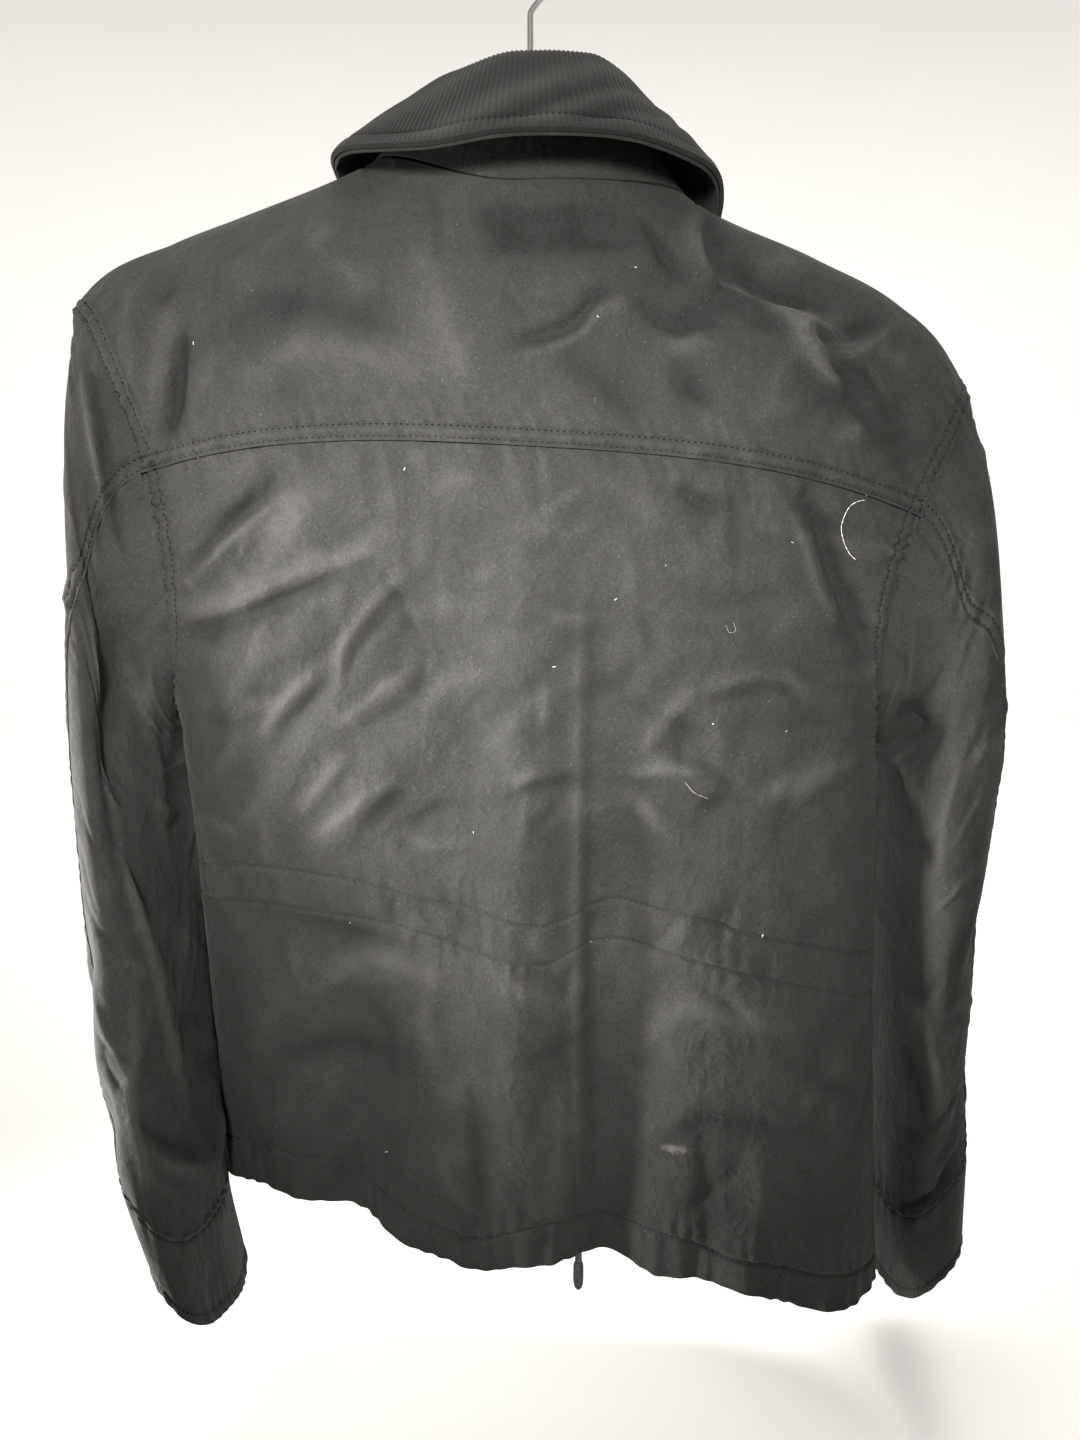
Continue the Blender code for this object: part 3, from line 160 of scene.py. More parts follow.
# Folds that show from a step away: a soft ridge (+) or trough (-) that runs
# from a start through a bend to an end, seen flat from behind
BACK_FOLDS = (
    # name                  x0      z0      x1      z1      x2      z2     width  height
    ("centre ridge",       0.006, -0.300, -0.004, -0.480, -0.014, -0.840, 0.026,  0.0085),
    ("beside the centre",  0.045, -0.440,  0.044, -0.580,  0.042, -0.860, 0.026, -0.0150),
    ("left hem swing",    -0.105, -0.540, -0.108, -0.680, -0.110, -0.840, 0.032, -0.0150),
    ("under yoke left",   -0.180, -0.365, -0.140, -0.320, -0.105, -0.272, 0.013, -0.0060),
    ("left diagonal a",   -0.165, -0.372, -0.130, -0.320, -0.098, -0.285, 0.010,  0.0040),
    ("left diagonal b",   -0.170, -0.420, -0.120, -0.360, -0.060, -0.320, 0.011,  0.0040),
    ("left diagonal c",   -0.165, -0.470, -0.105, -0.405, -0.070, -0.345, 0.012,  0.0040),
    ("left diagonal d",   -0.110, -0.480, -0.070, -0.420, -0.030, -0.390, 0.012,  0.0035),
    ("right armhole",      0.142, -0.290,  0.158, -0.330,  0.176, -0.372, 0.010, -0.0055),
    ("right blade",        0.050, -0.385,  0.090, -0.362,  0.135, -0.378, 0.009,  0.0030),
    ("right low",          0.060, -0.425,  0.105, -0.428,  0.150, -0.412, 0.012,  0.0035),
    ("left shoulder up",  -0.190, -0.183, -0.200, -0.215, -0.197, -0.250, 0.010,  0.0050),
    ("left shoulder in",  -0.176, -0.192, -0.182, -0.225, -0.180, -0.258, 0.010, -0.0050),
    ("right neck fold",    0.084, -0.160,  0.112, -0.196,  0.158, -0.212, 0.011,  0.0065),
    ("right neck hollow",  0.100, -0.166,  0.132, -0.190,  0.166, -0.196, 0.012, -0.0075),
    ("right cap hollow",   0.172, -0.205,  0.190, -0.228,  0.196, -0.262, 0.013, -0.0070),
    ("right cap ridge",    0.128, -0.190,  0.166, -0.232,  0.186, -0.272, 0.010,  0.0050),
    ("neck dent",          0.030, -0.165,  0.056, -0.178,  0.080, -0.172, 0.010, -0.0045),
)
FRONT_FOLDS = (
    ("left drop",         -0.120, -0.300, -0.112, -0.460, -0.105, -0.720, 0.026,  0.0060),
    ("right drop",         0.125, -0.310,  0.128, -0.470,  0.130, -0.740, 0.026,  0.0060),
    ("left chest",        -0.175, -0.380, -0.130, -0.320, -0.090, -0.285, 0.013, -0.0050),
    ("right chest",        0.172, -0.392,  0.130, -0.335,  0.092, -0.300, 0.013, -0.0050),
)
HEM_WAVE_HEIGHT = 0.0022  # the hem's turned edge ripples in and out
HEM_WAVES = 15
HEM_WAVE_REACH = 0.55     # over this many levels above the hem

# ------------------------------------------------------- rings down the sleeves
# ring 0 is the armhole itself, ring 6 the cuff seam, ring 7 the cuff's edge
SLEEVES = {
    "left": (
        # ring  outer_x  outer_z  inner_x  inner_z  mid_y  half_y  back_up  square
        (1,    -0.2425, -0.222, -0.2040, -0.420, -0.002, 0.056,  0.000,  2.2),
        (2,    -0.2400, -0.290, -0.2065, -0.440, -0.006, 0.062,  0.000,  2.4),
        (3,    -0.2385, -0.380, -0.2065, -0.475, -0.014, 0.066,  0.000,  2.5),
        (4,    -0.2380, -0.475, -0.2000, -0.537, -0.026, 0.067,  0.002,  2.6),
        (5,    -0.2350, -0.568, -0.1935, -0.612, -0.042, 0.063,  0.006,  2.6),
        (6,    -0.2230, -0.643, -0.1845, -0.694, -0.056, 0.056,  0.011,  2.6),
        (7,    -0.2080, -0.706, -0.1740, -0.750, -0.060, 0.053,  0.016,  2.6),
    ),
    "right": (
        (1,     0.2430, -0.262,  0.2000, -0.434,  0.000, 0.057,  0.000,  2.2),
        (2,     0.2515, -0.318,  0.2050, -0.448,  0.001, 0.063,  0.000,  2.4),
        (3,     0.2565, -0.400,  0.2080, -0.485,  0.003, 0.066,  0.000,  2.5),
        (4,     0.2560, -0.495,  0.2120, -0.552,  0.006, 0.066,  0.000,  2.6),
        (5,     0.2570, -0.592,  0.2180, -0.638,  0.010, 0.062,  0.000,  2.6),
        (6,     0.2660, -0.669,  0.2225, -0.723,  0.014, 0.055,  0.000,  2.6),
        (7,     0.2700, -0.738,  0.2245, -0.782,  0.016, 0.052,  0.000,  2.6),
    ),
}
CUFF_RING, SLEEVE_END = 6, 7
# The sleeve's pieces meet at this turn of the armhole behind, and at minus this in front
SEAM_TURN = 75.0
# The two sleeve seams, as turns round the arm, from armhole to cuff
SLEEVE_SEAMS = (
    # ring  back_turn  front_turn
    (0,     75.0,      75.0),
    (1,     88.0,      78.0),
    (2,     75.0,      82.0),
    (3,     54.0,      86.0),
    (4,     45.0,      88.0),
    (7,     40.0,      92.0),
)
SLEEVE_FOLDS = {
    "left": (
        # name             turn0 ring0 turn1 ring1 turn2 ring2 width  height
        ("back crevice",    120,  0.55,  116,  1.60,  128,  3.20, 0.30, -0.0100),
        ("outer ridge",      72,  0.60,   70,  2.20,   74,  4.20, 0.26,  0.0040),
        ("elbow fold",       95,  4.10,   80,  4.60,   60,  5.00, 0.20, -0.0035),
        ("wrist fold",      110,  5.10,   90,  5.50,   70,  5.75, 0.18, -0.0035),
    ),
    "right": (
        ("underarm fold",   165,  0.70,  135,  1.30,  110,  2.20, 0.26, -0.0080),
        ("outer ridge",      60,  1.20,   70,  2.40,   80,  3.80, 0.26,  0.0035),
        ("elbow fold",       60,  3.90,   85,  4.30,  115,  4.60, 0.20, -0.0035),
        ("wrist fold a",     75,  5.20,  100,  5.45,  120,  5.80, 0.16, -0.0040),
        ("wrist fold b",     80,  5.60,  100,  5.85,  120,  6.00, 0.14, -0.0030),
    ),
}
SLEEVE_FOLD_ROUND = 60.0  # degrees of turn that count as one ring of length

# -------------------------------------------------------------------- collar
# Round the neck seam: how far the fold leans in and rises, and where the
# leaf's edge hangs, all measured from the seam
COLLAR = (
    # station  fold_in  fold_up  edge_out  edge_up
    (0.00,     0.004,   0.026,   0.022,   -0.046),
    (0.10,     0.010,   0.026,   0.024,   -0.034),
    (0.20,     0.020,   0.024,   0.019,   -0.010),
    (0.27,     0.024,   0.022,   0.019,    0.0025),
    (0.36,     0.023,   0.031,   0.026,    0.001),
    (0.43,     0.018,   0.047,   0.033,    0.004),
    (0.50,     0.015,   0.058,   0.036,    0.012),
    (0.57,     0.016,   0.058,   0.034,    0.012),
    (0.64,     0.021,   0.043,   0.028,    0.008),
    (0.73,     0.025,   0.034,   0.017,    0.004),
    (0.80,     0.019,   0.030,   0.017,   -0.009),
    (0.90,     0.010,   0.030,   0.024,   -0.034),
    (1.00,     0.004,   0.026,   0.022,   -0.046),
)
STAND_INSET = 0.0052      # from the seam to the knit side of the stand
FOLD_ROUND = 0.0075       # half the width of the rolled fold
LEAF_BELLY = 0.0025       # how far the middle of the leaf rounds out
COLLAR_DROP = 0.0002      # the stand starts this far below the neck edge's outside
COLLAR_END = 0.020        # share of the neck seam left bare at each front edge
UNDER_WALL = 0.0014
COLLAR_GAP = 0.0005       # between the knit and the canvas layer under it

# -------------------------------------------------------------------- hanger
HOOK_STEM_TOP = -0.047    # the stem is straight up to here
HOOK_BEND = (
    # x        z
    (0.0035,  -0.0415),
    (0.0115,  -0.0350),
    (0.0175,  -0.0280),
)
HOOK_ARC = (-12, 205)     # degrees round the rail, from the bend to the tip
BAR_TIP = 0.020           # the bar thins over this length at each end
BAR_HALF_Y, BAR_HALF_Z = 0.0065, 0.0085
BAR = (
    # place            x       z of its top
    ("left end",     -0.212, -0.1715),
    ("left arm",     -0.189, -0.1610),
    ("left middle",  -0.152, -0.1495),
    ("left neck",    -0.098, -0.1325),
    ("left rise",    -0.050, -0.1160),
    ("centre",        0.000, -0.1060),
    ("right rise",    0.050, -0.1250),
    ("right neck",    0.098, -0.1482),
    ("right middle",  0.152, -0.1695),
    ("right arm",     0.190, -0.1890),
)

# ---------------------------------------------------------------- small pieces
EYELET_RADIUS, EYELET_BORE, EYELET_HEIGHT = 0.0060, 0.0026, 0.0014
EYELET_SIDES, EYELET_SECTION = 40, 12
# The cord's route: its exit at the eyelet, which way is into the jacket there, and
# how far down and in it has got at each place
CORD_START = (0.0277, -0.0554, -0.5299)
CORD_INWARD = (0.028, 0.9996, 0.0)
CORD_ROUTE = (
    # down     inward
    (0.000,   0.0000),
    (0.004,   0.0060),
    (0.014,   0.0095),
    (0.050,   0.0105),
    (0.110,   0.0095),
    (0.170,   0.0100),
    (0.2055,  0.0100),
)
TIP_SHAPE = (
    # radius  down
    (0.0022,  0.000),
    (0.0031,  0.003),
    (0.0032,  0.012),
    (0.0022,  0.018),
    (0.0012,  0.020),
)
BUTTON_LEVELS = (1.15, 2.1, 3.1, 4.15, 5.1, 5.75, 6.4)
BUTTON_HOLE, BUTTON_HOLES_AT, HOLE_DEPTH = 0.0010, 0.0019, 0.0012
BUTTON_THREAD_RISE = 0.0017     # its thread lies this far above its back
BUTTON_THREAD = {"pitch": 0.0038, "length": 0.0040, "girth": 0.00042}
BUTTON_PROFILE = (
    # radius  height
    (0.0090,  0.0000),
    (0.0097,  0.0004),
    (0.0100,  0.0012),
    (0.0099,  0.0021),
    (0.0094,  0.0028),
    (0.0086,  0.0030),
    (0.0079,  0.0026),
    (0.0073,  0.0019),
    (0.0066,  0.0016),
) + tuple((radius, 0.0015) for radius in (
    0.0052, 0.0043, 0.0036, 0.0030, 0.0025, 0.0020, 0.0015, 0.0010, 0.0004))
FLY_TOP_LEVEL = 0.85
FLY_STITCH = 0.005        # its stitched rows run this far inside its edges

# -------------------------------------------------------------- camera, stage
CAMERA_PLACE = (0.005, -0.615, -0.290)
CAMERA_DOWN = 11.5        # degrees below level
CAMERA_LENS = 27.05       # millimetres
FLOOR_Z = -0.86
FLOOR_FLAT, FLOOR_RADIUS = 2.5, 10.0     # it is flat this far out, and rises up to here
FLOOR_RISE = 8.0
FLOOR_RINGS, FLOOR_SIDES = 40, 96
WARM_WHITE = (1.0, 0.985, 0.955)
WORLD_STRENGTH = 0.35
# The key fades out round the hem and the right arm, the side light falls on the left
# sleeve, and the wash lights the far rise of the floor
LIGHTS = (
    # name    place                   aim                    size  watts   spread
    ("key",   (-0.09, -0.95, -0.09),  (-0.03, 0.0, -0.36),   0.18,   2.75,  46.0),
    ("side",  (-1.15, -0.22, -0.52),  (-0.24, 0.0, -0.56),   0.30,   6.0,   46.0),
    ("wash",  (0.0, 0.6, 2.6),        (0.0, 5.0, -0.4),      1.80, 170.0,  180.0),
)

# ------------------------------------------------- colours, from dark to light
CANVAS_DARK = (0.0068, 0.0066, 0.0062)
CANVAS_MIDDLE = (0.0205, 0.0199, 0.0187)
CANVAS_WORN = (0.0560, 0.0540, 0.0505)
KNIT_DARK = (0.0040, 0.0039, 0.0037)
KNIT_MIDDLE = (0.0185, 0.0181, 0.0172)
KNIT_LIGHT = (0.0450, 0.0440, 0.0415)

# ------------------------------------------------------- paths of the stitching
# Across the back: levels of the waist casing's two rows and of the hem's row
WAIST_UPPER = (
    # u      level
    (-1.00,  4.98),
    (-0.83,  4.82),
    (-0.60,  4.76),
    (-0.45,  4.78),
    (-0.30,  4.86),
    (-0.14,  4.88),
    (0.02,   4.94),
    (0.12,   4.87),
    (0.24,   4.77),
    (0.40,   4.77),
    (0.58,   4.87),
    (0.80,   4.95),
    (1.00,   5.03),
)
WAIST_LOWER = (
    (-1.00,  5.22),
    (-0.83,  5.12),
    (-0.60,  5.09),
    (-0.43,  5.08),
    (-0.28,  5.12),
    (-0.12,  5.18),
    (0.02,   5.20),
    (0.13,   5.11),
    (0.26,   5.06),
    (0.42,   5.09),
    (0.58,   5.15),
    (0.78,   5.21),
    (1.00,   5.29),
)
HEM_ROW = (
    (-1.00,  6.75),
    (-0.69,  6.73),
    (-0.46,  6.78),
    (-0.20,  6.82),
    (0.02,   6.76),
    (0.18,   6.79),
    (0.32,   6.75),
    (0.50,   6.82),
    (0.78,   6.79),
    (1.00,   6.87),
)
FRONT_WAIST_UPPER = ((-1.00, 4.98), (-0.50, 4.84), (0.00, 4.90), (0.50, 4.86), (1.00, 5.03))
FRONT_WAIST_LOWER = ((-1.00, 5.22), (-0.50, 5.10), (0.00, 5.16), (0.50, 5.12), (1.00, 5.29))
FRONT_HEM_ROW = ((-1.00, 6.75), (-0.40, 6.76), (0.00, 6.78), (0.40, 6.79), (1.00, 6.87))

# ---------------------------------------------------------------- creases
# Ridges (+) and troughs (-) of the cloth on the back, through 2 to 6 places
BACK_CREASES = (
    # name                  height   width   places (x, z) ...
    ("yoke hollow a", -0.0034, 0.0110, (-0.024, -0.147), (0.005, -0.159), (0.03, -0.153)),
    ("yoke hollow b", -0.0030, 0.0090, (0.019, -0.163), (0.044, -0.163), (0.046, -0.171)),
    ("yoke line", -0.0019, 0.0030, (0.056, -0.154), (0.067, -0.17), (0.076, -0.184)),
    ("yoke curved trough", -0.0031, 0.0060, (0.043, -0.189), (0.034, -0.192), (0.023, -0.205),
     (-0.008, -0.215)),
    ("yoke curved lip", 0.0020, 0.0050, (0.048, -0.195), (0.036, -0.198), (0.026, -0.209),
     (-0.005, -0.221)),
    ("yoke crescent", -0.0017, 0.0085, (0.050, -0.186), (0.060, -0.200), (0.074, -0.208),
     (0.086, -0.204), (0.094, -0.192)),
    ("yoke crescent lip", 0.0012, 0.0060, (0.063, -0.21), (0.074, -0.215), (0.086, -0.209)),
    ("yoke short trough", -0.0010, 0.0065, (0.068, -0.222), (0.077, -0.230), (0.090, -0.246)),
    ("neck fold ridge", 0.0028, 0.0050, (0.086, -0.147), (0.083, -0.157), (0.085, -0.168),
     (0.094, -0.186)),
    ("neck fold dark", -0.0028, 0.0060, (0.094, -0.145), (0.089, -0.157), (0.091, -0.168), (0.1, -0.184)),
    ("blade trough", -0.0052, 0.0100, (0.088, -0.163), (0.106, -0.184), (0.12, -0.191), (0.142, -0.193)),
    ("blade ridge", 0.0047, 0.0060, (0.097, -0.185), (0.123, -0.197), (0.132, -0.203), (0.14, -0.216),
     (0.145, -0.224), (0.159, -0.237)),
    ("cap crescent", -0.0034, 0.0100, (0.135, -0.208), (0.158, -0.211), (0.179, -0.202)),
    ("cap lip", 0.0031, 0.0060, (0.138, -0.216), (0.157, -0.219), (0.183, -0.208)),
    ("cap dark a", -0.0030, 0.0095, (0.138, -0.206), (0.150, -0.222), (0.163, -0.233),
     (0.170, -0.246)),
    ("cap dark b", -0.0034, 0.0095, (0.158, -0.228), (0.168, -0.245), (0.184, -0.26),
     (0.192, -0.275)),
    ("left shoulder ridge", 0.0022, 0.0060, (-0.18, -0.195), (-0.184, -0.223), (-0.187, -0.252)),
    ("left shoulder trough", -0.0026, 0.0070, (-0.174, -0.207), (-0.18, -0.241), (-0.183, -0.261)),
    ("left yoke soft a", -0.0012, 0.0120, (-0.159, -0.208), (-0.114, -0.193), (-0.063, -0.209)),
    ("left yoke soft b", 0.0010, 0.0120, (-0.149, -0.233), (-0.098, -0.218), (-0.048, -0.232)),
    ("centre yoke soft", 0.0012, 0.0120, (-0.054, -0.166), (-0.039, -0.205), (-0.029, -0.241)),
    ("right yoke soft", -0.0012, 0.0100, (0.014, -0.219), (0.034, -0.233), (0.054, -0.252)),
    ("left back trough", -0.0034, 0.0070, (-0.178, -0.329), (-0.15, -0.3), (-0.124, -0.279)),
    ("left back ridge", 0.0026, 0.0060, (-0.18, -0.334), (-0.145, -0.305), (-0.116, -0.286)),
    ("left ridge small", 0.0016, 0.0050, (-0.134, -0.306), (-0.108, -0.287)),
    ("left long ridge", 0.0026, 0.0070, (-0.184, -0.353), (-0.144, -0.339), (-0.114, -0.327),
     (-0.075, -0.313)),
    ("left long shade", -0.0024, 0.0060, (-0.184, -0.359), (-0.143, -0.346), (-0.113, -0.334),
     (-0.074, -0.319)),
    ("thin ridge", 0.0014, 0.0030, (-0.098, -0.384), (-0.095, -0.364), (-0.084, -0.348),
     (-0.063, -0.325)),
    ("thin shade", -0.0012, 0.0040, (-0.093, -0.385), (-0.09, -0.366), (-0.08, -0.352), (-0.059, -0.33)),
    ("triangle ridge", 0.0022, 0.0060, (-0.103, -0.371), (-0.124, -0.391), (-0.141, -0.412)),
    ("triangle shade", -0.0018, 0.0060, (-0.098, -0.374), (-0.119, -0.396), (-0.135, -0.416)),
    ("diagonal a", 0.0018, 0.0060, (-0.057, -0.372), (-0.077, -0.388), (-0.095, -0.403)),
    ("diagonal b", 0.0018, 0.0060, (-0.094, -0.417), (-0.107, -0.436), (-0.122, -0.453)),
    ("diagonal c", 0.0019, 0.0070, (-0.066, -0.429), (-0.091, -0.448), (-0.116, -0.467)),
    ("diagonal c dark", -0.0018, 0.0060, (-0.066, -0.437), (-0.088, -0.458)),
    ("short bright", 0.0012, 0.0040, (0.006, -0.426), (-0.009, -0.432)),
    ("right armhole dark", -0.0032, 0.0070, (0.135, -0.287), (0.147, -0.306), (0.156, -0.329),
     (0.168, -0.351), (0.177, -0.37)),
    ("right armhole lip", 0.0018, 0.0050, (0.128, -0.29), (0.139, -0.31), (0.148, -0.333),
     (0.16, -0.355)),
    ("right ridge", 0.0020, 0.0060, (0.086, -0.385), (0.104, -0.381), (0.13, -0.378), (0.144, -0.391)),
    ("right ridge shade", -0.0018, 0.0060, (0.089, -0.391), (0.105, -0.387), (0.129, -0.384),
     (0.142, -0.397)),
    ("right branch", 0.0016, 0.0050, (0.086, -0.385), (0.07, -0.401), (0.058, -0.421)),
    ("right low ridge", 0.0015, 0.0050, (0.052, -0.431), (0.073, -0.427), (0.092, -0.427)),
    ("right low", 0.0013, 0.0050, (0.06, -0.445), (0.072, -0.464)),
    ("right soft ridge", 0.0018, 0.0090, (0.127, -0.444), (0.151, -0.436), (0.174, -0.425)),
    ("right top dark", -0.0016, 0.0060, (0.072, -0.283), (0.095, -0.297)),
    ("centre ridge low", 0.0018, 0.0060, (0.028, -0.32), (0.025, -0.39), (0.025, -0.466),
     (0.025, -0.558), (0.028, -0.669)),
    ("centre shade", -0.0016, 0.0060, (0.033, -0.33), (0.031, -0.39), (0.03, -0.479), (0.032, -0.573),
     (0.035, -0.679)),
    ("low left a", 0.0014, 0.0090, (-0.13, -0.567), (-0.082, -0.536), (-0.044, -0.548)),
    ("low left b", -0.0012, 0.0090, (-0.146, -0.609), (-0.11, -0.595), (-0.062, -0.595)),
    ("low right a", 0.0012, 0.0100, (0.061, -0.583), (0.092, -0.562), (0.148, -0.576)),
    ("low right b", -0.0012, 0.0090, (0.067, -0.648), (0.104, -0.624), (0.162, -0.636)),
    ("hem dent a", -0.0016, 0.0080, (-0.034, -0.603), (-0.029, -0.644), (-0.029, -0.695)),
    ("hem ridge a", 0.0016, 0.0080, (0.016, -0.603), (0.017, -0.646), (0.014, -0.69)),
    ("hem dent b", -0.0014, 0.0080, (0.094, -0.625), (0.097, -0.667), (0.099, -0.712)),
    ("waist left", -0.0010, 0.0070, (-0.156, -0.511), (-0.11, -0.518), (-0.06, -0.529)),
    ("tick", -0.0009, 0.0025, (-0.073, -0.497), (-0.076, -0.514)),
)
LEFT_SLEEVE_CREASES = (
    # name           height   width   places (turn, ring) ...
    ("ridge long", 0.0018, 0.0060, (99, 2.2), (123, 2.7), (132, 3.14), (140, 3.6), (151, 4.02),
     (157, 4.4), (163, 4.78), (169, 5.26)),
    ("ridge inner", 0.0014, 0.0060, (135, 4.04), (133, 4.56), (123, 5.08), (125, 5.62)),
    ("fold line", -0.0015, 0.0060, (40, 0.2), (52, 0.3), (67, 0.42), (80, 0.48), (92, 0.46)),
    ("fold lip", 0.0015, 0.0050, (37, 0.36), (53, 0.48), (68, 0.56), (81, 0.66)),
    ("soft a", -0.0012, 0.0070, (125, 2.84), (137, 3.28), (157, 3.72)),
    ("soft b", 0.0012, 0.0070, (138, 0.84), (164, 2.2), (176, 3.3)),
    ("wrist a", -0.0014, 0.0050, (124, 5.18), (150, 5.3), (175, 5.5)),
    ("wrist b", 0.0014, 0.0050, (130, 5.36), (151, 5.46), (181, 5.64)),
)
RIGHT_SLEEVE_CREASES = (
    # name           height   width   places (turn, ring) ...
    ("curve a", -0.0022, 0.0050, (154, 6.02), (133, 5.88), (111, 5.96), (108, 5.82), (97, 5.8)),
    ("curve b", -0.0020, 0.0050, (150, 6.24), (130, 6.22), (118, 6.18), (110, 6.1), (102, 6.02)),
    ("curve a lip", 0.0016, 0.0040, (150, 6.1), (130, 6.0), (110, 6.04)),
    ("under dark", -0.0052, 0.0055, (136, 0.62), (129, 0.96), (123, 1.26)),
    ("under fold", 0.0016, 0.0060, (156, 1.08), (146, 2.26), (138, 2.76)),
    ("under shade", -0.0016, 0.0060, (162, 1.28), (156, 2.38), (147, 2.82)),
    ("mid a", 0.0012, 0.0060, (107, 2.54), (122, 2.94), (127, 3.42)),
    ("mid b", -0.0012, 0.0060, (100, 3.86), (109, 4.18), (110, 4.52)),
    ("low a", 0.0012, 0.0060, (141, 4.28), (124, 4.74), (112, 5.22)),
    ("low b", -0.0012, 0.0050, (154, 4.6), (142, 4.94), (130, 5.26)),
)
# The white thread and the lint caught on the back
THREAD_ARC = ((0.1698, -0.2902), (0.1650, -0.2911), (0.1608, -0.2944), (0.1587, -0.2992),
              (0.1582, -0.3036), (0.1591, -0.3090), (0.1608, -0.3134), (0.1635, -0.3174),
              (0.1665, -0.3200))
HAIR = ((0.080, -0.433), (0.085, -0.439), (0.093, -0.443))
CURL = ((0.099, -0.352), (0.101, -0.356), (0.104, -0.355), (0.103, -0.351))
LINT = ((-0.169, -0.213), (0.052, -0.178), (0.033, -0.203), (0.043, -0.339), (0.068, -0.322),
        (0.132, -0.311), (0.094, -0.403), (0.133, -0.408), (-0.098, -0.515), (0.125, -0.520),
        (-0.084, -0.660), (-0.062, -0.275), (0.012, -0.372), (-0.030, -0.460))
SMUDGE, SMUDGE_SCALE = (0.080, -0.070, -0.644), (90.0, 10.0, 260.0)

# --------------------------------------------------------------- cloth detail
MESH_STEP = 0.0017        # cells of the back
COARSE_STEP = 0.0030      # cells of the hidden fronts
# Grid lines this far from a seam, closest where its stitches lie, and from a cuff seam
NEAR_SEAM = np.array([0, 0.7, 1.4, 2.1, 2.8, 3.6, 4.6, 5.6, 6.6, 7.3, 8.0, 8.7, 9.6, 10.8, 12.4]) / 1000
NEAR_CUFF = np.array([0, 1.2, 2.4, 3.8, 5.4]) / 1000
ONE_EDGE = np.array([0.0])
CASING_LENGTHS = (0.245, 0.025, 0.165, 0.028)    # seam to casing, across it, to the hem's row, to the edge
STITCH_ROWS = (0.0021, 0.0078)                   # from a twice-stitched seam
LAP_WIDTH, LAP_HEIGHT = 0.0098, 0.0007           # its raised band
LADDER, LADDER_LENGTH = 0.0013, 0.0082           # the puckers between its two rows
FURROW, FURROW_WIDTH = 0.0010, 0.0012            # where a row of stitches pulls the cloth in
PUCKER, PUCKER_LENGTH, PUCKER_FADE = 0.0007, 0.0105, 0.010
# Puckers beside the casing's rows (1, 2) and the hem's row (3)
ROW_PUCKERS = (
    # row  above  fade   height
    (1,    True,  0.009, 0.0006),
    (2,    False, 0.012, 0.0007),
    (3,    True,  0.014, 0.0009),
)
SIDE_CALM = 0.014         # creases die out this near a side seam,
CASING_CALM = 0.006       # and the casing's and hem's ripples this near
GATHER, GATHER_LENGTH, GATHER_REACH = 0.0011, 0.021, 0.026     # gathers below the yoke seam
YOKE_DIP, YOKE_DIP_WIDTH = 0.0010, 0.0026        # the back dips under the yoke's edge
# The left sleeve's inner side is full against the body: height, turn and reach of it
SLEEVE_SWELL, SWELL_TURN, SWELL_REACH = 0.0036, 200, 32
CREASE_SKEW = 0.28        # a crease is this much steeper on one side
CREST_ROUND = 0.0013      # how rounded the crest of a crease is
CREASE_GAIN = 1.75        # the back's creases, as measured by their shade
STITCH_PITCH, STITCH_LENGTH, STITCH_GIRTH = 0.0031, 0.0023, 0.00034
CUFF_TOP_ROW, CUFF_EDGE_ROW = 0.003, 0.0065      # stitched rows, from the cuff's seam and edge
DEGREE, RING_LENGTH = 0.00083, 0.088   # metres for one degree of turn, one sleeve ring


# =============================================================== curve helpers
def through(knots, values, at, closed=None):
    """Smooth curve through a table's rows; closed is the length of one round."""
    knots = np.asarray(knots, float)
    values = np.asarray(values, float)
    at = np.asarray(at, float)
    if closed:
        knots = np.concatenate([knots[-2:] - closed, knots, knots[:3] + closed])
        values = np.concatenate([values[-2:], values, values[:3]])
        at = np.mod(at, closed)
    step = np.diff(knots)
    shape = (-1,) + (1,) * (values.ndim - 1)
    slope = np.diff(values, axis=0) / step.reshape(shape)
    tangent = np.empty_like(values)
    tangent[0], tangent[-1] = slope[0], slope[-1]
    before, after = step[:-1].reshape(shape), step[1:].reshape(shape)
    tangent[1:-1] = (after * slope[:-1] + before * slope[1:]) / (before + after)
    if not closed:
        turn = slope[:-1] * slope[1:] <= 0
        limit = 3 * np.minimum(abs(slope[:-1]), abs(slope[1:]))
        tangent[1:-1] = np.where(turn, 0, np.clip(tangent[1:-1], -limit, limit))
    i = np.clip(np.searchsorted(knots, at, side="right") - 1, 0, len(step) - 1)
    pad = at.shape + (1,) * (values.ndim - 1)
    h = step[i].reshape(pad)
    t = ((at - knots[i]) / step[i]).reshape(pad)
    ease = t * t * (3 - 2 * t)
    return (values[i] * (1 - ease) + values[i + 1] * ease
            + h * tangent[i] * t * (1 - t) ** 2 - h * tangent[i + 1] * t * t * (1 - t))


def column(table, index):
    return np.array([row[index] for row in table], float)


def read(table, at):
    """All the number columns of a table at the knots in its first column."""
    values = np.array([row[1:] for row in table], float)
    return np.moveaxis(through(column(table, 0), values, at), -1, 0)


def unit(v):
    return v / np.maximum(np.linalg.norm(v, axis=-1, keepdims=True), 1e-12)


def soft(t):
    t = np.clip(t, 0, 1)
    return t * t * (3 - 2 * t)


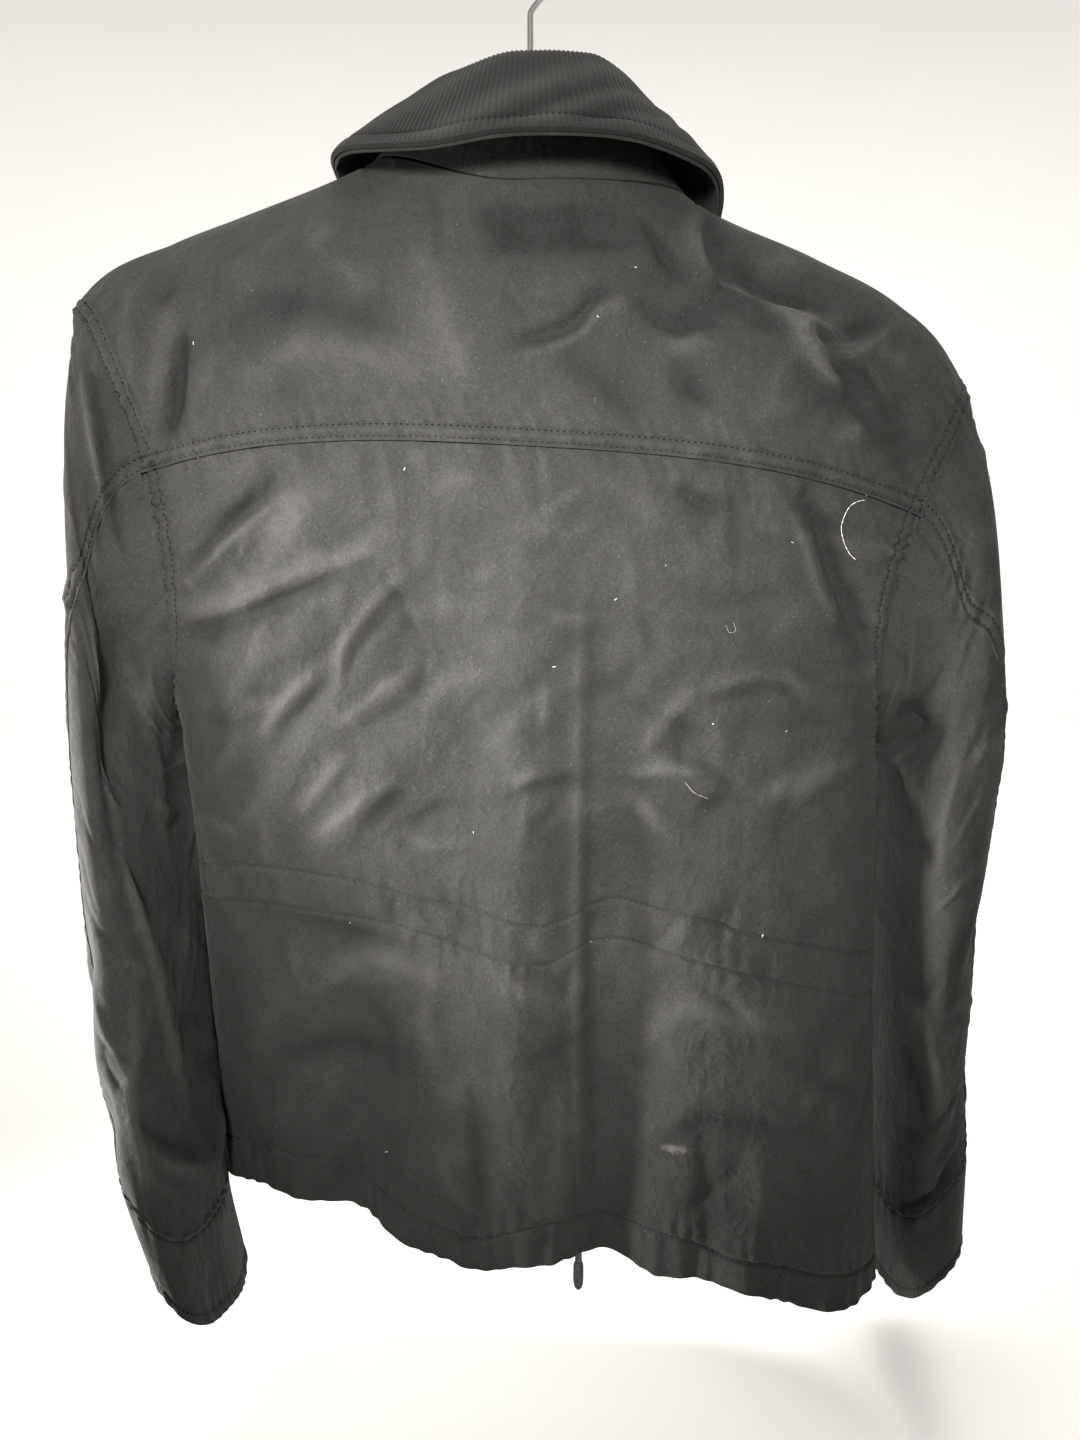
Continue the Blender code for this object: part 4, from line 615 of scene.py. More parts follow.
def fold_heights(places, rows):
    """Height of the ridges and troughs at flat places, summed."""
    total = np.zeros(places.shape[:-1])
    for _, a0, b0, a1, b1, a2, b2, width, height in rows:
        t = np.linspace(0, 1, 13)[:, None]
        start, bend, end = (np.array(p, float) for p in ((a0, b0), (a1, b1), (a2, b2)))
        control = 2 * bend - (start + end) / 2
        path = (1 - t) ** 2 * start + 2 * t * (1 - t) * control + t * t * end
        nearest = np.full(places.shape[:-1], np.inf)
        share = np.zeros(places.shape[:-1])
        for i in range(len(path) - 1):
            run = path[i + 1] - path[i]
            s = np.clip(((places - path[i]) @ run) / (run @ run), 0, 1)
            gap = np.linalg.norm(places - path[i] - s[..., None] * run, axis=-1)
            closer = gap < nearest
            nearest = np.where(closer, gap, nearest)
            share = np.where(closer, (i + s) / (len(path) - 1), share)
        fade = soft(share / 0.25) * soft((1 - share) / 0.25)
        total += height * (0.25 + 0.75 * fade) * np.exp(-(nearest / width) ** 2)
    return total


# ================================================================ the body
LEFT_X, RIGHT_X = CREST[0][1], CREST[-1][1]


def across(x):
    """Place across the crest, -1 at the left tip to 1 at the right tip."""
    return (2 * x - LEFT_X - RIGHT_X) / (RIGHT_X - LEFT_X)


NECK_ACROSS_LEFT, NECK_ACROSS_RIGHT = across(NECK_LEFT), across(NECK_RIGHT)


def armhole(side, turn):
    rows = ARMHOLES[side]
    values = np.array([row[1:] for row in rows], float)
    return through(column(rows, 0), values, turn, closed=360.0)


def level_turn(level, face):
    """Turn round the armhole where the row at this level ends."""
    turn = through(column(LEVEL_TURNS, 0), column(LEVEL_TURNS, 1), abs(level))
    return np.where(face < 0, turn, 360.0 - turn)


def row_ends(level, face):
    """Left and right end of the rows of one face, at or above the hem."""
    low = read(SIDES, np.maximum(level, UNDERARM))
    ends = []
    for k, side in enumerate(SIDE_NAMES):
        high = armhole(side, level_turn(np.minimum(level, UNDERARM), face))
        side_seam = np.stack([low[3 * k], low[3 * k + 1], low[3 * k + 2]], axis=-1)
        ends.append(np.where((level > UNDERARM)[..., None], side_seam, high))
    return ends


def row_body(u, level, face):
    """Points below the yoke line, u across and level down."""
    left, right = row_ends(level, face)
    z_mid, back_y, front_y, left_sq, right_sq, corner = read(ROWS, np.maximum(level, 1.0))
    mix = (u + 1) / 2
    square = left_sq + (right_sq - left_sq) * soft(mix)
    crown = np.maximum(1 - np.abs(u) ** square, 0) ** (1 / corner)
    depth = np.where(face < 0, back_y, front_y)
    line = left * (1 - mix[..., None]) + right * mix[..., None]
    middle = (left + right) / 2
    y = line[..., 1] + (depth - middle[..., 1]) * crown
    sag = middle[..., 2] - z_mid
    z = z_mid + (line[..., 2] - middle[..., 2]) + sag * np.abs(u) ** 3
    swing = through(column(HEM_SWING, 0), column(HEM_SWING, 1), u)
    z = z + swing * soft((level - HEM_SWING_FROM) / (HEM - HEM_SWING_FROM)) * (face < 0)
    return np.stack([line[..., 0], y, z], axis=-1)


def crest(u):
    x = LEFT_X + (RIGHT_X - LEFT_X) * (u + 1) / 2
    z = through(column(CREST, 1), column(CREST, 2), x)
    return np.stack([x, np.zeros_like(x), z], axis=-1)


def row_shoulder(u, level, face):
    """Points between the crest and the yoke line, rounded over the hanger."""
    swing = level * math.pi / 2
    top, low = crest(u), row_body(u, np.ones_like(level), face)

    def over(a, b):
        ease = 1 - np.cos(swing)
        x = a[..., 0] + (b[..., 0] - a[..., 0]) * np.sin(swing) ** 1.5
        y = b[..., 1] * np.sin(swing)
        z = a[..., 2] + (b[..., 2] - a[..., 2]) * ease
        return np.stack([x, y, z], axis=-1)

    points = over(top, low)
    for end, sign in zip(row_ends(level, face), (-1.0, 1.0)):
        edge_u = np.full_like(u, sign)
        miss = end - over(crest(edge_u), row_body(edge_u, np.ones_like(level), face))
        points = points + miss * (np.clip(sign * u, 0, 1) ** 5)[..., None]
    return points


def body_form(u, level, face):
    """The cloth's plain form before folds; a negative level is the far face."""
    u, level = np.broadcast_arrays(np.asarray(u, float), np.asarray(level, float))
    face = np.where(level < 0, -face, face) * np.ones_like(u)
    level = abs(level)
    shoulder = row_shoulder(u, np.minimum(level, 1.0), face)
    body = row_body(u, np.maximum(level, 1.0), face)
    return np.where((level < 1)[..., None], shoulder, body)


def form_normals(form, a, b, step_a, step_b, flip):
    """Outward unit normals of a form(a, b), by small steps inside its range."""
    span_a = form(a + step_a[1], b) - form(a + step_a[0], b)
    span_b = form(a, b + step_b[1]) - form(a, b + step_b[0])
    return flip * unit(np.cross(span_a, span_b))


def body_normals(u, level, face):
    """Outward normals; the step at each end of a row stays on the cloth."""
    step = 0.004
    inside = np.clip(u, -1 + step, 1 - step)

    def form(a, b):
        return body_form(a, b, face)

    low = np.minimum(level, HEM - step)
    return form_normals(form, inside, low, (-step, step), (-step, step), face)


def body_points(u, level, face):
    """Outer points of the cloth with its folds, and their normals."""
    u, level = np.broadcast_arrays(np.asarray(u, float), np.asarray(level, float))
    points = body_form(u, level, face)
    normals = body_normals(u, level, face)
    rows = BACK_FOLDS if face < 0 else FRONT_FOLDS
    lift = fold_heights(points[..., [0, 2]], rows)
    edge = soft((1 - np.abs(u)) / 0.10)
    top = soft((level - 0.10) / 0.25)
    hem = soft((level - (HEM - HEM_WAVE_REACH)) / HEM_WAVE_REACH)
    wave = np.sin(u * HEM_WAVES * math.pi / 2 + 0.8 * np.sin(3 * u))
    lift = lift * edge * top + HEM_WAVE_HEIGHT * hem * wave * edge
    return points + normals * lift[..., None], normals


def neck_level(u, face):
    """Level of the panel's top edge: the neckline, or the shoulder seam."""
    limit = np.where(u < 0, NECK_ACROSS_LEFT, NECK_ACROSS_RIGHT)
    inside = np.clip(np.abs(u / limit), 0, 1)
    bowl = (1 - inside ** NECK_ROUND) ** (1 / NECK_ROUND)
    if face < 0:
        return -SHOULDER_SEAM + (NECK_BACK_LEVEL + SHOULDER_SEAM) * bowl
    return SHOULDER_SEAM + (NECK_FRONT_LEVEL - SHOULDER_SEAM) * bowl


# ================================================================= the sleeves
def sleeve_form(side, turn, ring):
    """Plain form of a sleeve; turn is measured at the armhole, ring down it."""
    turn, ring = np.broadcast_arrays(np.asarray(turn, float), np.asarray(ring, float))
    back_seam, front_seam = read(SLEEVE_SEAMS, ring)
    signed = np.where(turn > 180 + 1e-9, turn - 360, turn)
    size = np.abs(signed)
    seam = np.where(signed >= 0, back_seam, front_seam)
    remapped = np.where(size <= SEAM_TURN, size / SEAM_TURN * seam,
                        seam + (size - SEAM_TURN) / (180.0 - SEAM_TURN) * (180.0 - seam))
    angle = np.radians(remapped) * np.sign(signed + 1e-12)
    knots = column(SLEEVES[side], 0)
    rows = np.array([row[1:] for row in SLEEVES[side]], float)
    outer_x, outer_z, inner_x, inner_z, mid_y, half_y, back_up, square = rows.T
    power = 2 / square
    c, s = np.cos(angle)[..., None], np.sin(angle)[..., None]
    reach = (1 - np.sign(c) * np.abs(c) ** power) / 2
    sideways = np.sign(s) * np.abs(s) ** power
    rings = np.stack([
        outer_x + (inner_x - outer_x) * reach,
        mid_y - half_y * sideways,
        outer_z + (inner_z - outer_z) * reach + back_up * sideways], axis=-1)
    shift = SLEEVE_SHIFT * (-1 if side == "left" else 1)
    start = armhole(side, np.mod(turn, 360.0)) + np.array([shift, 0, 0])
    stations = np.concatenate([start[None], np.moveaxis(rings, -2, 0)])
    knots = np.concatenate([[0.0], knots])
    return pick_through(knots, stations, ring)


def pick_through(knots, stations, at):
    """Smooth curve through stations, where each point has its own place on it."""
    step = np.diff(knots)
    slope = np.diff(stations, axis=0) / step.reshape((-1,) + (1,) * (stations.ndim - 1))
    tangent = np.empty_like(stations)
    tangent[0], tangent[-1] = slope[0], slope[-1]
    tangent[1:-1] = (slope[:-1] + slope[1:]) / 2
    i = np.clip(np.searchsorted(knots, at, side="right") - 1, 0, len(step) - 1)
    pick = (i,) + tuple(np.indices(at.shape))
    after = (i + 1,) + tuple(np.indices(at.shape))
    h = step[i][..., None]
    t = ((at - knots[i]) / step[i])[..., None]
    ease = t * t * (3 - 2 * t)
    return (stations[pick] * (1 - ease) + stations[after] * ease
            + h * tangent[pick] * t * (1 - t) ** 2 - h * tangent[after] * t * t * (1 - t))


def sleeve_points(side, turn, ring):
    turn, ring = np.broadcast_arrays(np.asarray(turn, float), np.asarray(ring, float))
    step_turn, step_ring = 0.8, 0.01

    def form(a, b):
        return sleeve_form(side, a, b)

    flip = -1 if side == "left" else 1
    low = np.clip(ring, step_ring, SLEEVE_END - step_ring)
    normals = form_normals(form, turn, low, (-step_turn, step_turn), (-step_ring, step_ring), flip)
    points = sleeve_form(side, turn, ring)
    places = np.stack([turn / SLEEVE_FOLD_ROUND, ring], axis=-1)
    rows = [(r[0], r[1] / SLEEVE_FOLD_ROUND, r[2], r[3] / SLEEVE_FOLD_ROUND, r[4],
             r[5] / SLEEVE_FOLD_ROUND, r[6], r[7], r[8]) for r in SLEEVE_FOLDS[side]]
    lift = fold_heights(places, rows) * soft(ring / 0.5) * soft((CUFF_RING + 0.6 - ring) / 0.6)
    return points + normals * lift[..., None], normals


def along(points):
    """Length along a line from its first point."""
    lengths = np.linalg.norm(np.diff(points, axis=0), axis=-1)
    return np.concatenate([[0.0], np.cumsum(lengths)])


def curved(places, count):
    """Even places along the smooth curve through a few."""
    places = np.array(places, float)
    run = along(places)
    return through(run, places, np.linspace(0, run[-1], count))


def collar_rows(fold_in, fold_up, edge_out, edge_up):
    """The profile at every station, as rows of (outward, up) from the seam."""
    r = FOLD_ROUND
    base = np.full_like(fold_in, STAND_INSET)
    rows = (
        (-base, np.full_like(fold_in, -COLLAR_DROP)),
        (-fold_in, fold_up - r),
        (-fold_in + 0.45 * r, fold_up - 0.1 * r),
        (-fold_in + 1.4 * r, fold_up - 0.05 * r),
        ((edge_out - fold_in + 2 * r) / 2 + LEAF_BELLY, (edge_up + fold_up - r) / 2 + LEAF_BELLY),
        (edge_out, edge_up),
    )
    return np.array([np.stack(row, axis=-1) for row in rows])


def hook_path():
    """Stem up the middle, a bend to the side and the arc over the rail."""
    radius = HOOK_RADIUS + WIRE / 2
    centre_z = WIRE / 2 - radius
    bottom = BAR[len(BAR) // 2][2] + SEAM_GAP
    stem = [(0.0, z) for z in np.linspace(bottom, HOOK_STEM_TOP, 6)]
    arc = [(radius * math.cos(a), centre_z + radius * math.sin(a))
           for a in np.radians(np.linspace(*HOOK_ARC, 17))]
    flat = np.array(stem + list(HOOK_BEND) + arc)
    return np.stack([flat[:, 0], np.zeros(len(flat)), flat[:, 1]], axis=-1)


# ================================================================== creases
def crease_lift(places, rows):
    """Height of the listed creases at flat places, summed."""
    total = np.zeros(places.shape[:-1])
    for number, (_, height, width, *knots) in enumerate(rows):
        knots = np.array(knots, float)
        chord = along(knots)
        path = through(chord, knots, np.linspace(0, chord[-1], 7 * len(knots)))
        reach = 3.4 * width
        near = np.all((places > path.min(0) - reach) & (places < path.max(0) + reach), axis=-1)
        if not near.any():
            continue
        run = np.diff(path, axis=0)
        gap = places[near][:, None] - path[:-1][None]
        share = np.clip((gap * run).sum(-1) / (run ** 2).sum(-1), 0, 1)
        miss = gap - share[..., None] * run
        away = np.linalg.norm(miss, axis=-1)
        best = away.argmin(1)
        pick = np.arange(len(best))
        cross = run[best, 0] * miss[pick, best, 1] - run[best, 1] * miss[pick, best, 0]
        skew = 1 + CREASE_SKEW * (1 if number % 2 else -1) * np.sign(cross)
        place = (best + share[pick, best]) / len(run)
        taper = np.sin(math.pi * np.clip(place, 0, 1)) ** 0.7
        rounded = np.sqrt(away[pick, best] ** 2 + CREST_ROUND ** 2) - CREST_ROUND
        off = rounded / (0.8 * width * skew)
        total[near] += CREASE_GAIN * height * (0.12 + 0.88 * taper) * np.exp(-1.15 * off ** 1.35)
    return total


def scattered(seed, count, low, high, lean, spread, lengths, widths, height):
    """Small uneven creases, as a washed cloth has them all over."""
    rng = np.random.default_rng(seed)
    rows = []
    for _ in range(count):
        middle = rng.uniform(np.minimum(low, high), np.maximum(low, high))
        angle = math.radians(rng.normal(lean, spread))
        half = rng.uniform(*lengths) / 2
        run = half * np.array([math.cos(angle), math.sin(angle)])
        bow = rng.normal(0, 0.2) * half * np.array([-math.sin(angle), math.cos(angle)])
        rise = height * rng.uniform(0.35, 1.0) * rng.choice((-1.0, 1.0))
        places = (tuple(middle - run), tuple(middle + bow), tuple(middle + run))
        rows.append(("small", rise, rng.uniform(*widths)) + places)
    return tuple(rows)


def mirrored(rows, share):
    """The same creases on the other face, lower and the other way round."""
    below_yoke = [row for row in rows if max(place[1] for place in row[3:]) < -0.27]
    return tuple((name, height * share, width * 1.1) + tuple((-x, z - 0.012) for x, z in places)
                 for name, height, width, *places in below_yoke)


# Where small creases lie, in the plane seen from behind, and how long and wide they are
SMALL_BACK_CREASES = (
    # seed count  corner          corner          lean spread lengths         widths          height
    (3,    120,   (-0.20, -0.28), (0.20, -0.47),  35,  40,    (0.018, 0.055), (0.003, 0.006), 0.0009),
    (4,    60,    (-0.18, -0.73), (0.20, -0.50),  80,  40,    (0.018, 0.060), (0.004, 0.008), 0.0008),
    (5,    60,    (-0.21, -0.27), (0.21, -0.15),  15,  45,    (0.014, 0.045), (0.003, 0.006), 0.0008),
)
SMALL_FRONT_CREASES = (
    6, 130, (-0.20, -0.74), (0.21, -0.18), 50, 45, (0.02, 0.06), (0.004, 0.007), 0.0009)
BACK_ALL = sum((scattered(*row) for row in SMALL_BACK_CREASES), BACK_CREASES)
FRONT_ALL = mirrored(BACK_CREASES, 0.9) + scattered(*SMALL_FRONT_CREASES)


def moved(rows, change):
    """The same creases with each of their places changed."""
    return tuple((name, height, width) + tuple(change(*place) for place in places)
                 for name, height, width, *places in rows)


def sleeve_rows(side):
    """Creases of one sleeve, in metres round and down it, and their like in front."""
    shown = LEFT_SLEEVE_CREASES if side == "left" else RIGHT_SLEEVE_CREASES
    front = moved(shown, lambda turn, ring: (-turn * 0.9, ring + 0.15))
    flat = moved(shown + front, lambda turn, ring: (turn * DEGREE, ring * RING_LENGTH))
    low, high = (-SEAM_TURN * DEGREE, 0.4 * RING_LENGTH), ((360 - SEAM_TURN) * DEGREE, 5.7 * RING_LENGTH)
    seed = 11 if side == "left" else 12
    return flat + scattered(seed, 150, low, high, 70, 45, (0.015, 0.055), (0.003, 0.006), 0.0009)


def ripple(run, length, seed):
    """An uneven wave of about one length, between -1 and 1."""
    phase = 2 * math.pi * run / length + seed
    uneven = 0.65 + 0.35 * np.sin(phase / 5.1 + 2 * seed)
    return np.sin(phase + 1.4 * np.sin(phase / 3.3 + seed)) * uneven


def pucker(run, distance, seed, fade=PUCKER_FADE, height=PUCKER):
    """Small gathers that leave a seam: they grow from it and die away."""
    rise = soft(distance / 0.0015) * np.exp(-(distance / fade) ** 1.5)
    return height * rise * (ripple(run, PUCKER_LENGTH, seed) - 0.25)


def furrow(distance):
    """The dip where a row of stitches pulls the cloth in."""
    return -FURROW * np.exp(-(distance / FURROW_WIDTH) ** 2)


def banded(distance, run, seed):
    """A stitched band with ladder-like puckers across it, and small ones beside it."""
    inside = 1 - soft((distance - LAP_WIDTH) / 0.002)
    ladder = LADDER * inside * soft(distance / 0.002) * ripple(run, LADDER_LENGTH, seed)
    return lap(distance) + ladder + pucker(run, np.maximum(distance - LAP_WIDTH, 0), seed, 0.012)


def lap(distance):
    """The raised, twice-stitched band beside a seam."""
    band = LAP_HEIGHT * (1 - soft((distance - LAP_WIDTH) / 0.0018))
    return band + sum(furrow(distance - row) for row in STITCH_ROWS)


# ============================================================ grids by distance
def laid(curve, params, near_start, middle, near_end):
    """Parameters of each line at set distances from its ends and evenly between."""
    run = np.cumsum(np.linalg.norm(np.diff(curve, axis=1), axis=-1), axis=1)
    run = np.concatenate([np.zeros((len(run), 1)), run], axis=1)
    places, gaps = [], []
    for one in run:
        total = one[-1]
        inner = np.linspace(near_start[-1], total - near_end[-1], middle + 1)[1:-1]
        at = np.concatenate([near_start, inner, total - near_end[::-1]])
        places.append(np.interp(at, one, params))
        gaps.append(at)
    return np.array(places), np.array(gaps)


def odd_laid(curve, params, near_start, middle, near_end):
    """As laid, with an odd number of lines, since a shell's inside has every second one."""
    middle += (len(near_start) + len(near_end) + middle) % 2
    return laid(curve, params, near_start, middle, near_end)


def run_down(points):
    """Length down each column from its first row."""
    steps = np.linalg.norm(np.diff(points, axis=0), axis=-1)
    return np.concatenate([np.zeros((1,) + steps.shape[1:]), np.cumsum(steps, axis=0)])


def run_across(points):
    """Length along each row from its first column."""
    return run_down(points.swapaxes(0, 1)).swapaxes(0, 1)


def far_side(sheet):
    """Distances across the sheet from its last column, in place of its first."""
    return sheet["across"][:, -1:] - sheet["across"]


def grid_facing(points, like):
    """Unit normals of a grid's own surface, on the side of the given ones."""
    facing = unit(np.cross(np.gradient(points, axis=0), np.gradient(points, axis=1)))
    turn = np.sign(np.einsum("...i,...i->...", facing, like))
    return facing * np.where(turn == 0, 1, turn)[..., None]


# ============================================================ the body's shells
def body_paths(face):
    if face < 0:
        return WAIST_UPPER, WAIST_LOWER, HEM_ROW
    return FRONT_WAIST_UPPER, FRONT_WAIST_LOWER, FRONT_HEM_ROW


def path_level(table, u):
    """Level of a stitched path at places across the body."""
    return through(column(table, 0), column(table, 1), u)


def lower_levels(places, u, face):
    """Levels of the rows below the yoke line: places 0 to 4 pass the stitched paths."""
    upper, lower, hem = (path_level(table, u) for table in body_paths(face))
    knots = [np.full_like(u, float(YOKE)), upper, lower, hem, np.full_like(u, float(HEM))]
    base = np.clip(np.floor(places).astype(int), 0, 3)
    share = places - base
    stack = np.stack(np.broadcast_arrays(*knots))
    pick = np.broadcast_to(base, u.shape)
    rows, cols = np.indices(u.shape)
    first, last = stack[pick, rows, cols], stack[pick + 1, rows, cols]
    return first + (last - first) * share


def lower_rows(step):
    """Row places below the yoke line, closer near the stitched paths, and the paths' rows."""
    counts = [max(12, round(length / step)) for length in CASING_LENGTHS]
    counts[0] += counts[0] % 2
    counts[2] += sum(counts) % 2
    rows, marks = [0.0], [0]
    for first, count in enumerate(counts):
        t = np.linspace(0, 1, count + 1)[1:]
        rows += list(first + t - 0.55 * np.sin(2 * math.pi * t) / (2 * math.pi))
        marks.append(len(rows) - 1)
    return np.array(rows), marks


def body_side_spread(levels, face, step, low=-1.0, high=1.0):
    """Places across the body at each level, by distance from the side seams."""
    u = -np.cos(np.linspace(0, math.pi, 401))
    u = u[(u >= low - 1e-9) & (u <= high + 1e-9)]
    curve = body_form(u[None, :], levels[:, None], face)
    total = np.linalg.norm(np.diff(curve[0], axis=0), axis=-1).sum()
    near_low = NEAR_SEAM if low <= -1 else ONE_EDGE
    near_high = NEAR_SEAM if high >= 1 else ONE_EDGE
    middle = round((total - near_low[-1] - near_high[-1]) / step)
    return odd_laid(curve, u, near_low, middle, near_high)


def lower_sheet(face, step, low=-1.0, high=1.0):
    """Grid of a panel below the yoke line: points, normals and its measures."""
    rows, marks = lower_rows(step)
    middle = np.zeros((len(rows), 1)) + (low + high) / 2
    levels = lower_levels(rows[:, None], middle, face)[:, 0]
    u, gaps = body_side_spread(levels, face, step, low, high)
    level = lower_levels(rows[:, None] + 0 * u, u, face)
    points, normals = body_points(u, level, face)
    return {"points": points, "normals": normals, "u": u, "level": level,
            "across": gaps, "total": gaps[:, -1:], "down": run_down(points), "marks": marks}


def waist_lift(sheet, seed):
    """Casing and hem: furrows at the stitched rows, and ripples between and below."""
    down, across = sheet["down"], sheet["across"]
    _, upper, lower, hem, edge = lines = [down[mark] for mark in sheet["marks"]]
    lift = sum(1.5 * furrow(down - line) for line in (upper, lower, hem))
    inside = soft((down - upper) / 0.003) * soft((lower - down) / 0.003)
    lift += inside * (0.0001 + 0.0004 * ripple(across, 0.013, seed))
    for row, above, fade, height in ROW_PUCKERS:
        away = (lines[row] - down) * (1 if above else -1)
        lift += pucker(across, np.abs(away), seed + row, fade, height) * (away > 0)
    lift += soft((down - hem) / 0.004) * 0.0009 * ripple(across, 0.0125, seed + 3)
    return lift + 0.0004 * soft((down - (edge - 0.004)) / 0.004)


def dressed(sheet, lift, wear=None):
    """Raise a sheet by its lift; the part of the lift given third is also painted into the colour: lighter
    on ridges as wear, darker in troughs and furrows as painted shade.
    """
    sheet["wear"] = lift if wear is None else wear
    sheet["points"] = sheet["points"] + sheet["normals"] * lift[..., None]
    sheet["facing"] = grid_facing(sheet["points"], sheet["normals"])
    return sheet


def side_band(sheet, seam, seed):
    """A side's stitched band: gathered beside the armhole, and plain below the arm."""
    below_arm = soft((sheet["level"] - UNDERARM) / 0.4)
    return banded(seam, sheet["down"], seed) * (1 - below_arm) + lap(seam) * below_arm


def back_sheet():
    """The back panel, with gathers and a dip below the yoke seam."""
    sheet = lower_sheet(-1, MESH_STEP)
    across, down = sheet["across"], sheet["down"]
    side = np.minimum(across, sheet["total"] - across)
    lift = crease_lift(sheet["points"][..., [0, 2]], BACK_ALL) * soft(side / SIDE_CALM)
    creases = lift * soft(down / 0.004 + 0.25)
    lift = creases + waist_lift(sheet, 0.7) * soft(side / CASING_CALM)
    lift += pucker(across, down, 1.3)
    gathers = soft(down / 0.006) * np.exp(-(down / GATHER_REACH) ** 1.6)
    lift += GATHER * gathers * ripple(across, GATHER_LENGTH, 0.6) * soft(side / 0.03)
    lift -= YOKE_DIP * np.exp(-(down / YOKE_DIP_WIDTH) ** 2)
    lift += side_band(sheet, side, 2.1)
    # the creases are painted into the colour too: ridges lighter as wear, troughs darker as painted shade
    return dressed(sheet, lift, creases)


def yoke_sheet():
    """The yoke: rows by distance above its seam, columns as the back's first row."""
    first = body_side_spread(np.array([1.0]), -1, MESH_STEP)[0][0]
    share = np.linspace(0, 1, 161)
    top = neck_level(first, -1)
    u = np.broadcast_to(first[:, None], (len(first), len(share)))
    level = YOKE + (top[:, None] - YOKE) * share[None, :]
    curve = body_form(u, level, -1)
    shares, gaps = laid(curve, share, NEAR_SEAM, 48, np.array([0.0, 0.002]))
    rows = (YOKE + (top[:, None] - YOKE) * shares).T[::-1]
    up = gaps.T[::-1]
    across = np.broadcast_to(first[None, :], rows.shape)
    points, normals = body_points(across, rows, -1)
    run, down = run_across(points), run_down(points)
    sheet = {"points": points, "normals": normals, "across": run, "down": down, "up": up}
    side = np.minimum(run, run[:, -1:] - run)
    neck = up[:1] - up
    lift = crease_lift(points[..., [0, 2]], BACK_ALL)
    lift = lift * soft(side / SIDE_CALM) * soft((rows + 0.05) / 0.3)
    creases = lift * soft((neck - 0.002) / 0.02)
    lift = creases + 1.5 * lap(up) + pucker(run, np.maximum(up - LAP_WIDTH, 0), 1.3, 0.011)
    between = soft(up / 0.002) * (1 - soft((up - 0.009) / 0.002))
    lift += 0.0003 * ripple(run, PUCKER_LENGTH, 1.3) * between
    lift += banded(side, down, 2.6) * soft(neck / 0.01)
    # the creases are painted into the colour too: ridges lighter as wear, troughs darker as painted shade
    return dressed(sheet, lift, creases)


def front_sheet(side):
    """One front from the shoulder seam and neckline to the hem, in coarser cells."""
    low, high = (-1.0, 0.0) if side == "left" else (0.0, 1.0)
    lower = lower_sheet(1, COARSE_STEP, low, high)
    first = lower["u"][0]
    top = neck_level(first, 1)
    share = np.linspace(0, 1, 41)[:-1, None]
    level = top + (YOKE - top) * share
    points, normals = body_points(np.broadcast_to(first, level.shape), level, 1)
    down = run_down(np.concatenate([points, lower["points"][:1]]))
    above = lower["across"][:1] + 0 * level
    sheet = {
        "points": np.concatenate([points, lower["points"]]),
        "normals": np.concatenate([normals, lower["normals"]]),
        "across": np.concatenate([above, lower["across"]]),
        "down": np.concatenate([down[:-1], lower["down"] + down[-1:]]),
        "level": np.concatenate([level, lower["level"]]),
        "marks": [mark + len(share) for mark in lower["marks"]],
    }
    seam = sheet["across"] if side == "left" else far_side(sheet)
    lift = crease_lift(sheet["points"][..., [0, 2]], FRONT_ALL)
    lift = lift * soft(seam / SIDE_CALM) * soft(sheet["down"] / 0.02)
    lift += waist_lift(sheet, 4.2) * soft(seam / CASING_CALM)
    lift += side_band(sheet, seam, 5.0) * soft(sheet["down"] / 0.01)
    # the whole lift is painted into the colour too: ridges lighter as wear, troughs and stitched furrows
    # darker as painted shade
    return dressed(sheet, lift)


